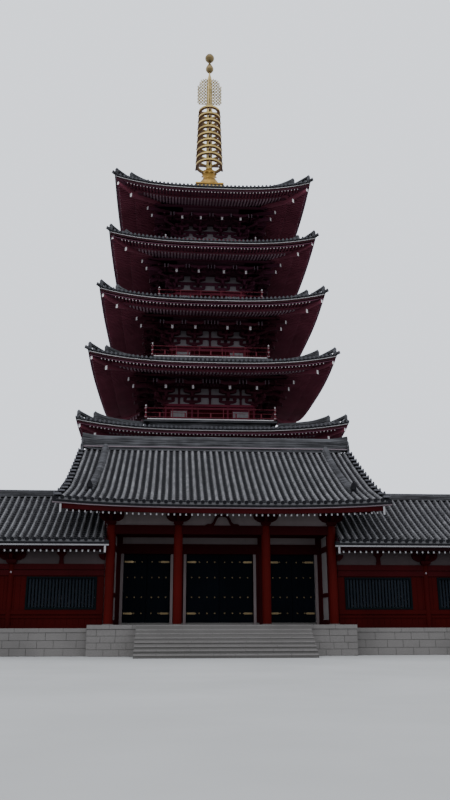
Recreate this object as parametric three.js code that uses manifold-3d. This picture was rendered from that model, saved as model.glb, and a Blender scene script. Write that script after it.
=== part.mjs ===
// Five-storey pagoda on a stone podium, with a gabled front hall and two side wings.
// This is a half-size model: sizes below are metres of the full-size building, and M turns
// them into the model's millimetres. +Z is up, +Y runs away from the front, and the origin
// is on the tower's axis at ground level.
import * as THREE from 'three';
import { mergeVertices } from 'three/addons/utils/BufferGeometryUtils.js';
import Module from 'manifold-3d';

const M = 500;

// Tower: one entry for each storey, from the ground up
const STOREYS = [
  { body: 3.8, sideBay: 2.2, centreBay: 3.0, floor: 5.9, wallTop: 11.95 },
  { body: 3.54, sideBay: 2.02, centreBay: 2.75, floor: 16.24, wallTop: 17.6 },
  { body: 3.16, sideBay: 1.77, centreBay: 2.47, floor: 21.34, wallTop: 22.56 },
  { body: 2.91, sideBay: 1.76, centreBay: 2.0, floor: 26.24, wallTop: 27.5 },
  { body: 2.53, sideBay: 1.51, centreBay: 1.73, floor: 31.12, wallTop: 32.32 },
];
const ROOFS = [
  { half: 9.44, eave: 14.25, corner: 14.9 },
  { half: 8.92, eave: 19.33, corner: 20.05 },
  { half: 8.38, eave: 24.24, corner: 25.05 },
  { half: 7.91, eave: 29.29, corner: 30.01 },
  { half: 7.6, eave: 34.2, corner: 34.88 },
];
const VERANDA_HALF = [0, 5.02, 4.66, 4.26, 3.86];
const WALL = 0.34;
const POST = 0.3;
const SLAB = 0.22;

// Side windows of a storey, as shares of the wall's height and of the bay
const STOREY_WINDOW = { sill: 0.36, head: 0.84, halfWide: 0.3 };

// Bracket arms: thickness, share of the eaves' depth that they reach, and the tail beyond it.
// The lowest arm starts over the wall top, and the tail lies at a share of the bracket's height.
const BRACKET = {
  thick: 0.26, reach: 0.38, tail: 0.5, purlin: 0.24, purlinHigh: 0.26,
  firstArm: 0.12, tailUnder: 0.35, tailShare: 0.58, tailHigh: 0.3, topGap: 0.06,
};

// Railing of a veranda
const RAIL = { height: 0.95, inset: 0.16, post: 0.16, stud: 0.1, middle: 0.45, top: 0.83 };

// Tower roofs: the tile edge over the eave line, the fascia under it and the soffit's rise.
// A slope is hollow, and the corner's upward sweep dies away towards the crest.
const TILE_EDGE = 0.22;
const FASCIA_DROP = 0.2;
const SOFFIT_RISE = 0.3;
const ROOF_HOLLOW = 0.3;
const SWEEP_POWER = 1.6;
const NECK_GAP = 0.12;
const TOP_NECK = 0.9;
const CROWN = 37.7;
const HIP_LOW = { from: 0.02, to: 0.4, wide: 0.34, high: 0.28 };
const HIP_HIGH = { from: 0.26, wide: 0.4, high: 0.44, clear: 0.3 };
const HIP_SUNK = 0.15;

// Finial on the top roof. The bowl, the lotus, the fins and the two balls are outlines of
// [radius, height] points over their own foot.
const FINIAL = {
  foot: 37.9, baseHalf: 1.14, capProud: 0.06, capHigh: 0.16, baseTop: 38.7,
  bowlTop: 39.98, lotusTop: 40.85, poleWide: 0.19, poleNarrow: 0.17,
  ringFirst: 41.17, ringPitch: 0.71, rings: 9, ringWide: 1.22, ringNarrow: 1.0,
  ringHigh: 0.24, ringThick: 0.12, spoke: 0.1, sleeveThick: 0.1,
  flameLow: 47.72, flameHigh: 50.5, flameHalf: 1.1, finThick: 0.05, collar: 0.33, collarHigh: 2.2,
  sheathLow: 0.275, sheathHigh: 0.17, stem: 0.07, jewel: 51.24, ball: 52.46, tip: 53.32,
};
const BOWL = [[1.02, 0], [1.0, 0.4], [0.82, 0.9], [0.62, 1.28]];
const LOTUS = [[0.46, 0.02], [0.72, 0.46], [0.66, 0.52], [0.5, 0.6], [0.42, 0.87]];
const FIN = [[0.3, 0], [1, 0], [1.02, 1.1], [0.94, 2.0], [0.62, 2.6], [0.4, 2.78], [0.3, 2.2]];
const JEWEL = [[0.16, 0.02], [0.3, 0.24], [0.31, 0.46], [0.2, 0.72], [0.07, 1.06]];
const BALL = [[0.2, 0.02], [0.37, 0.28], [0.37, 0.52], [0.22, 0.78]];

// Podium and stone platform
const PODIUM = { half: 9.4, front: -9.9, top: 5.0, plinthHalf: 5.3 };
const PLATFORM = { half: 7.0, front: -19.06, ledgeBack: -18.2, top: 1.53 };
const WING_BASE = { front: -18.5, top: 1.36, back: -9.9, end: 16.9 };
const STEPS = { half: 4.5, count: 8, tread: 0.3 };

// Front hall
const HALL = {
  columnX: [-6.02, -2.39, 2.39, 6.02], columnY: -18.06, columnRadius: 0.24,
  beamLow: 6.26, beamTop: 6.74, friezeTop: 7.8, purlinTop: 8.08,
  sideInner: 5.82, sideOuter: 6.3, backInner: -10.2,
  beamHalf: 6.3, beamThick: 0.36, friezeThick: 0.16, purlinHalf: 8.3,
  eaveY: -20.02, ridgeY: -12.4, backY: -8.3, end: 9.0, eave: 7.45, eaveEnd: 7.7,
  tileEdge: 0.25, ridge: 12.15, hollow: 0.14, thick: 0.5,
  stackHalf: 8.65, stackTop: 12.95, stackWide: 0.46,
  descendX: 7.25, descendWide: 0.36, descendHigh: 0.42,
};
const DOOR = {
  wallFront: -15.95, wallBack: -15.65, sill: 1.64, head: 5.39, lintelTop: 5.93, wallTop: 7.33,
  centreHalf: 1.9, sideInner: 2.79, sideOuter: 5.43, leafThick: 0.1, lintelProud: 0.05,
};

// Side wings, two bays each
const WING = {
  inner: 6.3, bay: 5.14, bays: 2, firstPost: 6.06, postHalf: 0.15, front: -17.95, thick: 0.3,
  back: -10.2, eaveY: -19.02, ridgeY: -14.06, eave: 5.6, tileEdge: 0.25, wallTop: 5.65,
  ridge: 8.75, hollow: 0.2, roofEnd: 17.35, roofThick: 0.4,
  stackTop: 9.25, stackWide: 0.34, stackInset: 0.3,
  windowLow: 2.32, windowHigh: 4.01, windowInset: 0.62, windowLong: 3.7,
  beamLow: 4.07, beamTop: 4.67, sillTop: 1.99, sillProud: 0.05, beamProud: 0.06, postProud: 0.09,
};

// Running clearances of the door leaves and the seat of their pivots
const RUN_GAP = 5;
const MEETING_GAP = 10;
const SEAT_GAP = 0.3;

const finish = (color, roughness, metalness = 0) =>
  new THREE.MeshStandardMaterial({ color, roughness, metalness });
const stone = finish(0xb9b4aa, 0.9);
const plaster = finish(0xb8aea6, 0.85);
const maroon = finish(0x5a2a30, 0.7);
const red = finish(0xb23a2e, 0.6);
const tile = finish(0x59606c, 0.6);
const doorPaint = finish(0x16232b, 0.5);
const gilt = finish(0xb9a15a, 0.4, 0.8);

const wasm = await Module();
wasm.setup();

const pagoda = new THREE.Group();
pagoda.name = 'pagoda';

// Solids are joined and cut on their bare positions
function solidOf(geometry) {
  const bare = geometry.clone();
  bare.deleteAttribute('normal');
  bare.deleteAttribute('uv');
  const welded = mergeVertices(bare, 1e-3);
  const vertProperties = new Float32Array(welded.attributes.position.array);
  const triVerts = new Uint32Array(welded.index.array);
  return new wasm.Manifold(new wasm.Mesh({ numProp: 3, vertProperties, triVerts }));
}

function geometryOf(solid) {
  const mesh = solid.getMesh();
  const geometry = new THREE.BufferGeometry();
  geometry.setAttribute('position', new THREE.BufferAttribute(mesh.vertProperties, 3));
  geometry.setIndex(new THREE.BufferAttribute(mesh.triVerts, 1));
  return geometry;
}

function joined(pieces, holes = []) {
  let solid = solidOf(pieces[0]);
  for (const piece of pieces.slice(1)) solid = solid.add(solidOf(piece));
  for (const hole of holes) solid = solid.subtract(solidOf(hole));
  return geometryOf(solid);
}

function place(name, geometry, material, x = 0, y = 0, z = 0) {
  const mesh = new THREE.Mesh(geometry, material);
  mesh.name = name;
  mesh.position.set(x * M, y * M, z * M);
  pagoda.add(mesh);
  return mesh;
}

// A block between two corners, in metres
function block(x0, x1, y0, y1, z0, z1) {
  const geometry = new THREE.BoxGeometry((x1 - x0) * M, (y1 - y0) * M, (z1 - z0) * M);
  return geometry.translate((x0 + x1) / 2 * M, (y0 + y1) / 2 * M, (z0 + z1) / 2 * M);
}

// An upright plate: outline points run outward (d) and up (z), the thickness is centred
function plate(points, thick) {
  const shape = new THREE.Shape(points.map(([d, z]) => new THREE.Vector2(d * M, z * M)));
  const geometry = new THREE.ExtrudeGeometry(shape, { depth: thick * M, bevelEnabled: false });
  geometry.translate(0, 0, -thick / 2 * M);
  return geometry.rotateX(Math.PI / 2);
}

// A profile carried round a square: each point is [distance from the axis, height, lift],
// where lift is the share of the corner's upward sweep that the point takes
const ALONG = [-1, -0.75, -0.4, 0.4, 0.75];
function squareTurn(profile, sweep = 0, along = ALONG) {
  const columns = [];
  for (let side = 0; side < 4; side += 1) {
    for (const u of along) {
      const angle = side * Math.PI / 2;
      columns.push({ u, cos: Math.round(Math.cos(angle)), sin: Math.round(Math.sin(angle)) });
    }
  }
  const positions = [];
  for (const { u, cos, sin } of columns) {
    for (const [d, z, lift = 0] of profile) {
      const x = u * d;
      const y = -d;
      positions.push((x * cos - y * sin) * M, (x * sin + y * cos) * M);
      positions.push((z + sweep * lift * Math.abs(u) ** 3) * M);
    }
  }
  const index = [];
  const rows = profile.length;
  for (let i = 0; i < columns.length; i += 1) {
    const j = (i + 1) % columns.length;
    for (let row = 0; row < rows; row += 1) {
      const next = (row + 1) % rows;
      const corners = [i * rows + row, j * rows + row, j * rows + next, i * rows + next];
      if (profile[row][0] > 0) index.push(corners[0], corners[1], corners[2]);
      if (profile[next][0] > 0) index.push(corners[0], corners[2], corners[3]);
    }
  }
  const geometry = new THREE.BufferGeometry();
  geometry.setAttribute('position', new THREE.Float32BufferAttribute(positions, 3));
  geometry.setIndex(index);
  return mergeVertices(geometry, 1e-3);
}

const squareRing = (outer, inner, low, high) =>
  squareTurn([[outer, low], [outer, high], [inner, high], [inner, low]], 0, [-1]);

// A bar with an upright rectangular section, laid along a list of [x, y, z] points
function bar(points, wide, below, above) {
  const first = new THREE.Vector3(...points[0]);
  const last = new THREE.Vector3(...points[points.length - 1]);
  const side = last.sub(first).setZ(0).normalize().cross(new THREE.Vector3(0, 0, 1));
  const positions = [];
  for (const [x, y, z] of points) {
    for (const [s, h] of [[-1, -below], [1, -below], [1, above], [-1, above]]) {
      positions.push((x + side.x * s * wide / 2) * M, (y + side.y * s * wide / 2) * M, (z + h) * M);
    }
  }
  const index = [0, 1, 2, 0, 2, 3];
  for (let i = 0; i < points.length - 1; i += 1) {
    for (let k = 0; k < 4; k += 1) {
      const a = i * 4 + k;
      const b = i * 4 + (k + 1) % 4;
      index.push(a, b + 4, b, a, a + 4, b + 4);
    }
  }
  const end = (points.length - 1) * 4;
  index.push(end, end + 2, end + 1, end, end + 3, end + 2);
  const geometry = new THREE.BufferGeometry();
  geometry.setAttribute('position', new THREE.Float32BufferAttribute(positions, 3));
  geometry.setIndex(index);
  return geometry;
}

// Four copies of a piece, turned about the tower's axis
function fourSides(geometry) {
  return [0, 1, 2, 3].map((side) => geometry.clone().rotateZ(side * Math.PI / 2));
}

// Stone podium with the tower's plinth on it
place('podium', joined([
  block(-PODIUM.half, PODIUM.half, PODIUM.front, PODIUM.half, 0, PODIUM.top),
  block(-PODIUM.plinthHalf, PODIUM.plinthHalf, -PODIUM.plinthHalf, PODIUM.plinthHalf,
    PODIUM.top - 0.1, STOREYS[0].floor),
]), stone);

// Stone platform under the hall and the wings, with the door sill
place('stone_platform', joined([
  block(-PLATFORM.half, PLATFORM.half, PLATFORM.front, PLATFORM.ledgeBack, 0, PLATFORM.top),
  block(-WING.inner, WING.inner, PLATFORM.front, WING_BASE.back, 0, PLATFORM.top),
  block(-WING_BASE.end, WING_BASE.end, WING_BASE.front, WING_BASE.back, 0, WING_BASE.top),
  block(-DOOR.sideOuter, DOOR.sideOuter, DOOR.wallFront, DOOR.wallBack,
    PLATFORM.top - 0.1, DOOR.sill),
]), stone);

// Front steps: one stepped block
const stepPoints = [[0, 0]];
for (let i = 0; i < STEPS.count; i += 1) {
  const high = PLATFORM.top * (i + 1) / STEPS.count;
  stepPoints.push([i * STEPS.tread, high], [(i + 1) * STEPS.tread, high]);
}
stepPoints.push([STEPS.count * STEPS.tread, 0]);
place('front_steps', plate(stepPoints, STEPS.half * 2).rotateZ(Math.PI / 2), stone,
  0, PLATFORM.front - STEPS.count * STEPS.tread, 0);

// Walls of one storey: a square ring with side windows and door recesses
function storeyWalls(number) {
  const storey = STOREYS[number - 1];
  const high = storey.wallTop - storey.floor;
  const outer = storey.body;
  const postProud = 0.06;
  const through = 0.2;
  const pieces = [squareRing(outer - postProud, outer - WALL, 0, high)];
  const inner = storey.centreBay / 2;
  for (const line of [-inner, inner]) {
    pieces.push(...fourSides(block(line - POST / 2, line + POST / 2, -outer, -outer + POST / 2, 0, high)));
  }
  pieces.push(...fourSides(block(-outer, -outer + POST, -outer, -outer + POST, 0, high)));
  const sill = high * STOREY_WINDOW.sill;
  const head = high * STOREY_WINDOW.head;
  const half = storey.sideBay * STOREY_WINDOW.halfWide;
  const middle = inner + storey.sideBay / 2;
  const holes = [];
  for (const x of [-middle, middle]) {
    holes.push(...fourSides(
      block(x - half, x + half, -outer - through, -outer + WALL + through, sill, head)));
  }
  const door = inner - POST / 2;
  holes.push(...fourSides(block(-door, door, -outer - through, -outer + WALL / 2, 0, head)));
  return joined(pieces, holes);
}

// Height of the soffit at a distance from the axis, and of its flat inner part
const soffitFlat = (number) => ROOFS[number - 1].eave + SOFFIT_RISE;
function soffitAt(number, distance) {
  const roof = ROOFS[number - 1];
  const flat = STOREYS[number - 1].body;
  const share = Math.max(0, (distance - flat) / (roof.half - flat));
  return soffitFlat(number) - share * (SOFFIT_RISE + FASCIA_DROP);
}

// Brackets of one storey: a wall band, stepped arms on each post line and corner, and a purlin
function storeyBrackets(number) {
  const storey = STOREYS[number - 1];
  const outer = storey.body;
  const high = soffitFlat(number) - storey.wallTop;
  const purlin = outer + (ROOFS[number - 1].half - outer) * BRACKET.reach;
  const tip = purlin + BRACKET.tail;
  const root = outer - 0.1;
  const tailLow = (high - BRACKET.tailUnder) * BRACKET.tailShare;
  const top = soffitAt(number, tip) - BRACKET.topGap - storey.wallTop;
  const arm = [
    [root, BRACKET.firstArm], [outer + (purlin - outer) / 3, BRACKET.firstArm], [tip, tailLow],
    [tip, tailLow + BRACKET.tailHigh], [purlin, top], [root, top],
  ];
  const pieces = [squareRing(outer - 0.04, outer - WALL, 0, high)];
  const lines = [storey.centreBay / 2, storey.centreBay / 2 + storey.sideBay];
  for (const line of [-lines[1], -lines[0], lines[0], lines[1]]) {
    const piece = plate(arm, BRACKET.thick).rotateZ(-Math.PI / 2).translate(line * M, 0, 0);
    pieces.push(...fourSides(piece));
  }
  const cornerCut = (d) => d * Math.SQRT2 - (d > outer ? BRACKET.tail : 0);
  const slanted = arm.map(([d, z]) => [cornerCut(d), z]);
  pieces.push(...fourSides(plate(slanted, BRACKET.thick).rotateZ(-Math.PI / 4)));
  const purlinTop = top - 0.04;
  pieces.push(squareRing(purlin + BRACKET.purlin / 2, purlin - BRACKET.purlin / 2,
    purlinTop - BRACKET.purlinHigh, purlinTop));
  return joined(pieces);
}

// One storey's roof: curved tiles, eaves that sweep up to the corners, and hip ridges
function storeyRoof(number) {
  const roof = ROOFS[number - 1];
  const next = STOREYS[number];
  const body = STOREYS[number - 1].body;
  const edge = roof.eave + TILE_EDGE;
  const neck = next ? next.body : TOP_NECK;
  const crest = next ? next.floor - SLAB - NECK_GAP : CROWN;
  const lift = (t) => (1 - t) ** SWEEP_POWER;
  const surface = (t) => edge + (crest - edge) * ((1 - ROOF_HOLLOW) * t + ROOF_HOLLOW * t * t);
  const rows = [0, 0.2, 0.5, 1];
  const tiles = rows.map((t) => [roof.half + (neck - roof.half) * t, surface(t), lift(t)]);
  const bend = roof.half - 1.6;
  const below = [[body, soffitFlat(number), 0], [bend, soffitAt(number, bend), 0.6],
    [roof.half - 0.06, roof.eave - FASCIA_DROP, 1]];
  const closing = next
    ? [[neck, next.floor - SLAB, 0], [neck - WALL, next.floor - SLAB, 0],
      [neck - WALL, soffitFlat(number), 0]]
    : [[neck, FINIAL.foot, 0], [0, FINIAL.foot, 0], [0, soffitFlat(number), 0]];
  const sweep = roof.corner - roof.eave;
  const pieces = [squareTurn([...tiles, ...closing, ...below], sweep)];
  const hip = (from, to) => {
    const points = [];
    for (let i = 0; i <= 3; i += 1) {
      const t = from + (to - from) * i / 3;
      const d = roof.half + (neck - roof.half) * t;
      points.push([d, d, surface(t) + sweep * lift(t)]);
    }
    return points;
  };
  pieces.push(...fourSides(bar(hip(HIP_LOW.from, HIP_LOW.to), HIP_LOW.wide, HIP_SUNK, HIP_LOW.high)));
  const clear = (next ? VERANDA_HALF[number] : FINIAL.baseHalf) + HIP_HIGH.clear;
  const inner = (roof.half - clear) / (roof.half - neck);
  pieces.push(...fourSides(bar(hip(HIP_HIGH.from, inner), HIP_HIGH.wide, HIP_SUNK, HIP_HIGH.high)));
  return joined(pieces);
}

// A veranda: floor slab on the roof's neck, and a railing of posts and two rails
function storeyVeranda(number) {
  const half = VERANDA_HALF[number - 1];
  const storey = STOREYS[number - 1];
  const line = half - RAIL.inset;
  const pieces = [block(-half, half, -half, half, -SLAB, 0)];
  const post = (x, wide, high) =>
    block(x - wide / 2, x + wide / 2, -line - wide / 2, -line + wide / 2, -0.05, high);
  pieces.push(...fourSides(post(-line, RAIL.post, RAIL.height + 0.12)));
  for (const x of [-storey.centreBay / 2, storey.centreBay / 2]) {
    pieces.push(...fourSides(post(x, RAIL.stud, RAIL.height - 0.05)));
  }
  for (const [z, thick] of [[RAIL.middle, 0.09], [RAIL.top, 0.11]]) {
    pieces.push(squareRing(line + thick / 2, line - thick / 2, z, z + thick));
  }
  return joined(pieces);
}

for (let number = 1; number <= STOREYS.length; number += 1) {
  const storey = STOREYS[number - 1];
  place(`storey_${number}_walls`, storeyWalls(number), maroon, 0, 0, storey.floor);
  place(`storey_${number}_brackets`, storeyBrackets(number), maroon, 0, 0, storey.wallTop);
  place(`storey_${number}_roof`, storeyRoof(number), tile);
  if (number > 1) place(`storey_${number}_veranda`, storeyVeranda(number), red, 0, 0, storey.floor);
}

// Finial: square base, bowl and lotus
function turned(points, segments) {
  const profile = points.map(([r, z]) => new THREE.Vector2(r * M, z * M));
  return new THREE.LatheGeometry(profile, segments).rotateX(Math.PI / 2);
}
const over = (outline, foot) => outline.map(([r, z]) => [r, foot + z]);
const F = FINIAL;
const capHalf = F.baseHalf + F.capProud;
place('finial_base', joined([
  block(-F.baseHalf, F.baseHalf, -F.baseHalf, F.baseHalf, F.foot, F.baseTop - F.capHigh),
  block(-capHalf, capHalf, -capHalf, capHalf, F.baseTop - F.capHigh, F.baseTop),
  turned([[0, F.baseTop - 0.1], [BOWL[0][0], F.baseTop - 0.1], ...over(BOWL, F.baseTop),
    ...over(LOTUS, F.bowlTop), [0, F.lotusTop]], 16),
]), gilt);

// Pole with its sheath, the lower jewel and the top ball
const poleTop = F.flameLow - 0.2;
place('finial_pole', turned([
  [0, F.lotusTop], [F.poleWide, F.lotusTop], [F.poleNarrow, poleTop], [F.poleNarrow, F.flameLow],
  [F.sheathLow, F.flameLow], [F.sheathHigh, F.flameHigh], [F.stem, F.flameHigh + 0.1],
  [F.stem, F.jewel], ...over(JEWEL, F.jewel), [F.stem, F.ball], ...over(BALL, F.ball), [0, F.tip],
], 12), gilt);

// Nine rings, each on four spokes from a thin sleeve round the pole
const ringPieces = [];
const poleShare = (z) => (z - F.lotusTop) / (poleTop - F.lotusTop);
const poleAt = (z) => F.poleWide + (F.poleNarrow - F.poleWide) * Math.min(1, poleShare(z));
const sleeveGap = SEAT_GAP / M + 0.03;
for (let i = 0; i < F.rings; i += 1) {
  const z = F.ringFirst + i * F.ringPitch;
  const r = F.ringWide + (F.ringNarrow - F.ringWide) * i / (F.rings - 1);
  const [low, high] = [z - F.ringHigh / 2, z + F.ringHigh / 2];
  const back = r - F.ringThick;
  ringPieces.push(turned([[r, low], [r, high], [back, high], [back, low], [r, low]], 12));
  const half = F.spoke / 2;
  const spoke = block(poleAt(z) + sleeveGap + 0.01, r - half, -half, half, z - half, z + half);
  ringPieces.push(...fourSides(spoke));
}
const sleeve = [F.lotusTop, F.flameLow].map((z) => [poleAt(z) + sleeveGap, z]);
const sleeveOuter = sleeve.map(([r, z]) => [r + F.sleeveThick, z]);
ringPieces.push(turned([...sleeveOuter, sleeve[1], sleeve[0], sleeveOuter[0]], 8));
place('finial_rings', joined(ringPieces), gilt);

// Flame: four upright fins on a collar round the sheath
const fin = plate(FIN.map(([d, z]) => [d > F.collar ? d * F.flameHalf : d, F.flameLow + z]), F.finThick);
const collarInner = F.sheathLow + 0.01;
const collar = turned([
  [F.collar, F.flameLow], [F.collar, F.flameLow + F.collarHigh],
  [collarInner, F.flameLow + F.collarHigh], [collarInner, F.flameLow], [F.collar, F.flameLow],
], 12);
place('finial_flame', joined([collar, ...fourSides(fin)]), gilt);

// Hall columns, with their head beam and frieze
const columnLong = HALL.beamLow - PLATFORM.top;
const columnShape = new THREE.CylinderGeometry(HALL.columnRadius * M, HALL.columnRadius * M,
  columnLong * M, 14).rotateX(Math.PI / 2);
HALL.columnX.forEach((x, i) => {
  const middle = PLATFORM.top + columnLong / 2;
  place(`hall_column_${i + 1}`, columnShape, red, x, HALL.columnY, middle);
});
const beamAlong = (half, thick, low, high) =>
  block(-half, half, HALL.columnY - thick / 2, HALL.columnY + thick / 2, low, high);
place('hall_front_beam', joined([
  beamAlong(HALL.beamHalf, HALL.beamThick, HALL.beamLow, HALL.beamTop),
  beamAlong(HALL.beamHalf, HALL.friezeThick, HALL.beamTop, HALL.friezeTop),
  beamAlong(HALL.purlinHalf, HALL.beamThick, HALL.friezeTop, HALL.purlinTop),
]), maroon);

// Gabled roof with concave slopes whose eaves rise a little towards the ends. t runs from 0 at
// the front eave to 1 at the ridge; the back slope mirrors the front one and stops at backY.
function gableSurface(side, t, roof) {
  const run = roof.ridgeY - roof.eaveY;
  const y = side < 0 ? roof.eaveY + run * t : roof.ridgeY + run * (1 - t);
  const rise = roof.ridge - roof.edge;
  return { y, z: roof.edge + rise * ((1 - roof.hollow) * t + roof.hollow * t * t) };
}
function gableSection(roof) {
  const rows = [0, 0.2, 0.4, 0.6, 0.8, 1];
  const backEnd = 1 - (roof.backY - roof.ridgeY) / (roof.ridgeY - roof.eaveY);
  const top = rows.map((t) => gableSurface(-1, t, roof));
  const farRows = rows.slice(0, -1).filter((t) => t > backEnd + 0.05).reverse();
  return [...top, ...[...farRows, backEnd].map((t) => gableSurface(1, t, roof))];
}
function gableRoof(roof) {
  const section = gableSection(roof);
  const loop = [
    ...section.map(({ y, z }) => [y, z]),
    ...section.slice().reverse().map(({ y, z }) => [y, z - roof.thick]),
  ];
  const stations = roof.stations;
  const positions = [];
  for (const x of stations) {
    const lift = roof.lift * (Math.abs(x) / roof.end) ** 3;
    for (const [y, z] of loop) {
      const share = Math.abs(y - roof.ridgeY) / (roof.ridgeY - roof.eaveY);
      positions.push(x * M, y * M, (z + lift * share) * M);
    }
  }
  const rows = loop.length;
  const index = [];
  for (let i = 0; i < stations.length - 1; i += 1) {
    for (let row = 0; row < rows; row += 1) {
      const next = (row + 1) % rows;
      const a = i * rows + row;
      const b = i * rows + next;
      index.push(a, a + rows, b + rows, a, b + rows, b);
    }
  }
  const half = rows / 2;
  const last = (stations.length - 1) * rows;
  for (let row = 0; row < half - 1; row += 1) {
    const [a, b, c, d] = [row, row + 1, rows - 2 - row, rows - 1 - row];
    index.push(a, b, c, a, c, d);
    index.push(last + a, last + c, last + b, last + a, last + d, last + c);
  }
  const geometry = new THREE.BufferGeometry();
  geometry.setAttribute('position', new THREE.Float32BufferAttribute(positions, 3));
  geometry.setIndex(index);
  return geometry;
}

const hallRoof = {
  ...HALL, edge: HALL.eave + HALL.tileEdge, lift: HALL.eaveEnd - HALL.eave,
  stations: [-1, -0.75, -0.4, 0, 0.4, 0.75, 1].map((u) => u * HALL.end),
};
const hallRoofPieces = [gableRoof(hallRoof)];
hallRoofPieces.push(block(-HALL.stackHalf, HALL.stackHalf, HALL.ridgeY - HALL.stackWide / 2,
  HALL.ridgeY + HALL.stackWide / 2, HALL.ridge - 0.4, HALL.stackTop));
for (const x of [-HALL.descendX, HALL.descendX]) {
  for (const side of [-1, 1]) {
    const rows = side < 0 ? [0.09, 0.3, 0.5, 0.75, 0.98] : [0.5, 0.75, 0.98];
    const points = rows.map((t) => {
      const { y, z } = gableSurface(side, t, hallRoof);
      const lift = hallRoof.lift * (Math.abs(x) / hallRoof.end) ** 3 * (1 - t);
      return [x, y, z + lift];
    });
    hallRoofPieces.push(bar(points, HALL.descendWide, HIP_SUNK, HALL.descendHigh));
  }
}
place('hall_roof', joined(hallRoofPieces), tile);

// Underside of a gabled roof, as [y, z] points between two lines across it
function gableUnderside(roof, from, to, gap) {
  const points = gableSection(roof).map(({ y, z }) => [y, z - roof.thick - gap]);
  const heightAt = (y) => {
    for (let i = 0; i < points.length - 1; i += 1) {
      const [y0, z0] = points[i];
      const [y1, z1] = points[i + 1];
      if (y >= y0 && y <= y1) return z0 + (z1 - z0) * (y - y0) / (y1 - y0);
    }
    return points[0][1];
  };
  const inside = points.filter(([y]) => y > from && y < to);
  return [[from, heightAt(from)], ...inside, [to, heightAt(to)]];
}

// A gable wall across the building, its head cut to the roof's underside
function gableWall(roof, x0, x1, from, to, low) {
  const head = gableUnderside(roof, from, to, SEAT_GAP / M);
  const outline = [[from, low], ...head, [to, low]].reverse();
  return plate(outline, x1 - x0).rotateZ(Math.PI / 2).translate((x0 + x1) / 2 * M, 0, 0);
}

// Side and back walls of the hall; a jamb on each side wall carries the outer door leaf
const wallBack = PODIUM.front;
const sideFront = HALL.columnY + HALL.columnRadius + 0.02;
for (const [name, sign] of [['hall_left_wall', -1], ['hall_right_wall', 1]]) {
  const x0 = Math.min(sign * HALL.sideInner, sign * HALL.sideOuter);
  const x1 = Math.max(sign * HALL.sideInner, sign * HALL.sideOuter);
  const jambInner = HALL.sideInner + 0.05;
  const jamb0 = Math.min(sign * DOOR.sideOuter, sign * jambInner);
  const jamb1 = Math.max(sign * DOOR.sideOuter, sign * jambInner);
  place(name, joined([
    gableWall(hallRoof, x0, x1, sideFront, wallBack, PLATFORM.top),
    block(jamb0, jamb1, DOOR.wallFront, DOOR.wallBack, PLATFORM.top, DOOR.head),
  ]), plaster);
}
const backHead = gableUnderside(hallRoof, HALL.backInner, wallBack, SEAT_GAP / M);
const backTop = Math.floor(backHead[1][1] * 50) / 50;
place('hall_back_wall', block(-HALL.sideInner, HALL.sideInner, HALL.backInner, wallBack,
  PLATFORM.top, backTop), plaster);

// Door wall: two piers and a head wall over the three doorways
for (const [name, x0, x1] of [
  ['door_pier_left', -DOOR.sideInner, -DOOR.centreHalf],
  ['door_pier_right', DOOR.centreHalf, DOOR.sideInner],
]) {
  place(name, block(x0, x1, DOOR.wallFront, DOOR.wallBack, DOOR.sill, DOOR.head), maroon);
}
place('door_head_wall', joined([
  block(-HALL.sideInner, HALL.sideInner, DOOR.wallFront, DOOR.wallBack, DOOR.head, DOOR.wallTop),
  block(-HALL.sideInner, HALL.sideInner, DOOR.wallFront - DOOR.lintelProud, DOOR.wallBack,
    DOOR.head, DOOR.lintelTop),
]), maroon);

// Door leaves: a slab with a round heel and thin pivots, in the leaf's own frame at its axis
function doorLeaf(wide, sign) {
  const thick = DOOR.leafThick * M;
  const high = (DOOR.head - DOOR.sill) * M;
  const slab = new THREE.BoxGeometry(wide, thick, high - 2 * RUN_GAP);
  slab.translate(sign * wide / 2, 0, high / 2);
  const heel = new THREE.CylinderGeometry(thick / 2, thick / 2, high - 2 * RUN_GAP, 10)
    .rotateX(Math.PI / 2).translate(0, 0, high / 2);
  const pivot = new THREE.CylinderGeometry(thick / 4, thick / 4, high - 2 * SEAT_GAP, 8)
    .rotateX(Math.PI / 2).translate(0, 0, high / 2);
  return joined([slab, heel, pivot]);
}
const leafY = (DOOR.wallFront + DOOR.wallBack) / 2;
const doorways = [
  ['left', -DOOR.sideOuter, -DOOR.sideInner],
  ['centre', -DOOR.centreHalf, DOOR.centreHalf],
  ['right', DOOR.sideInner, DOOR.sideOuter],
];
for (const [name, x0, x1] of doorways) {
  const axisIn = DOOR.leafThick / 2 + RUN_GAP / M;
  const wide = ((x1 - x0) / 2 - axisIn) * M - MEETING_GAP / 2;
  place(`${name}_door_leaf_1`, doorLeaf(wide, 1), doorPaint, x0 + axisIn, leafY, DOOR.sill);
  place(`${name}_door_leaf_2`, doorLeaf(wide, -1), doorPaint, x1 - axisIn, leafY, DOOR.sill);
}

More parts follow.
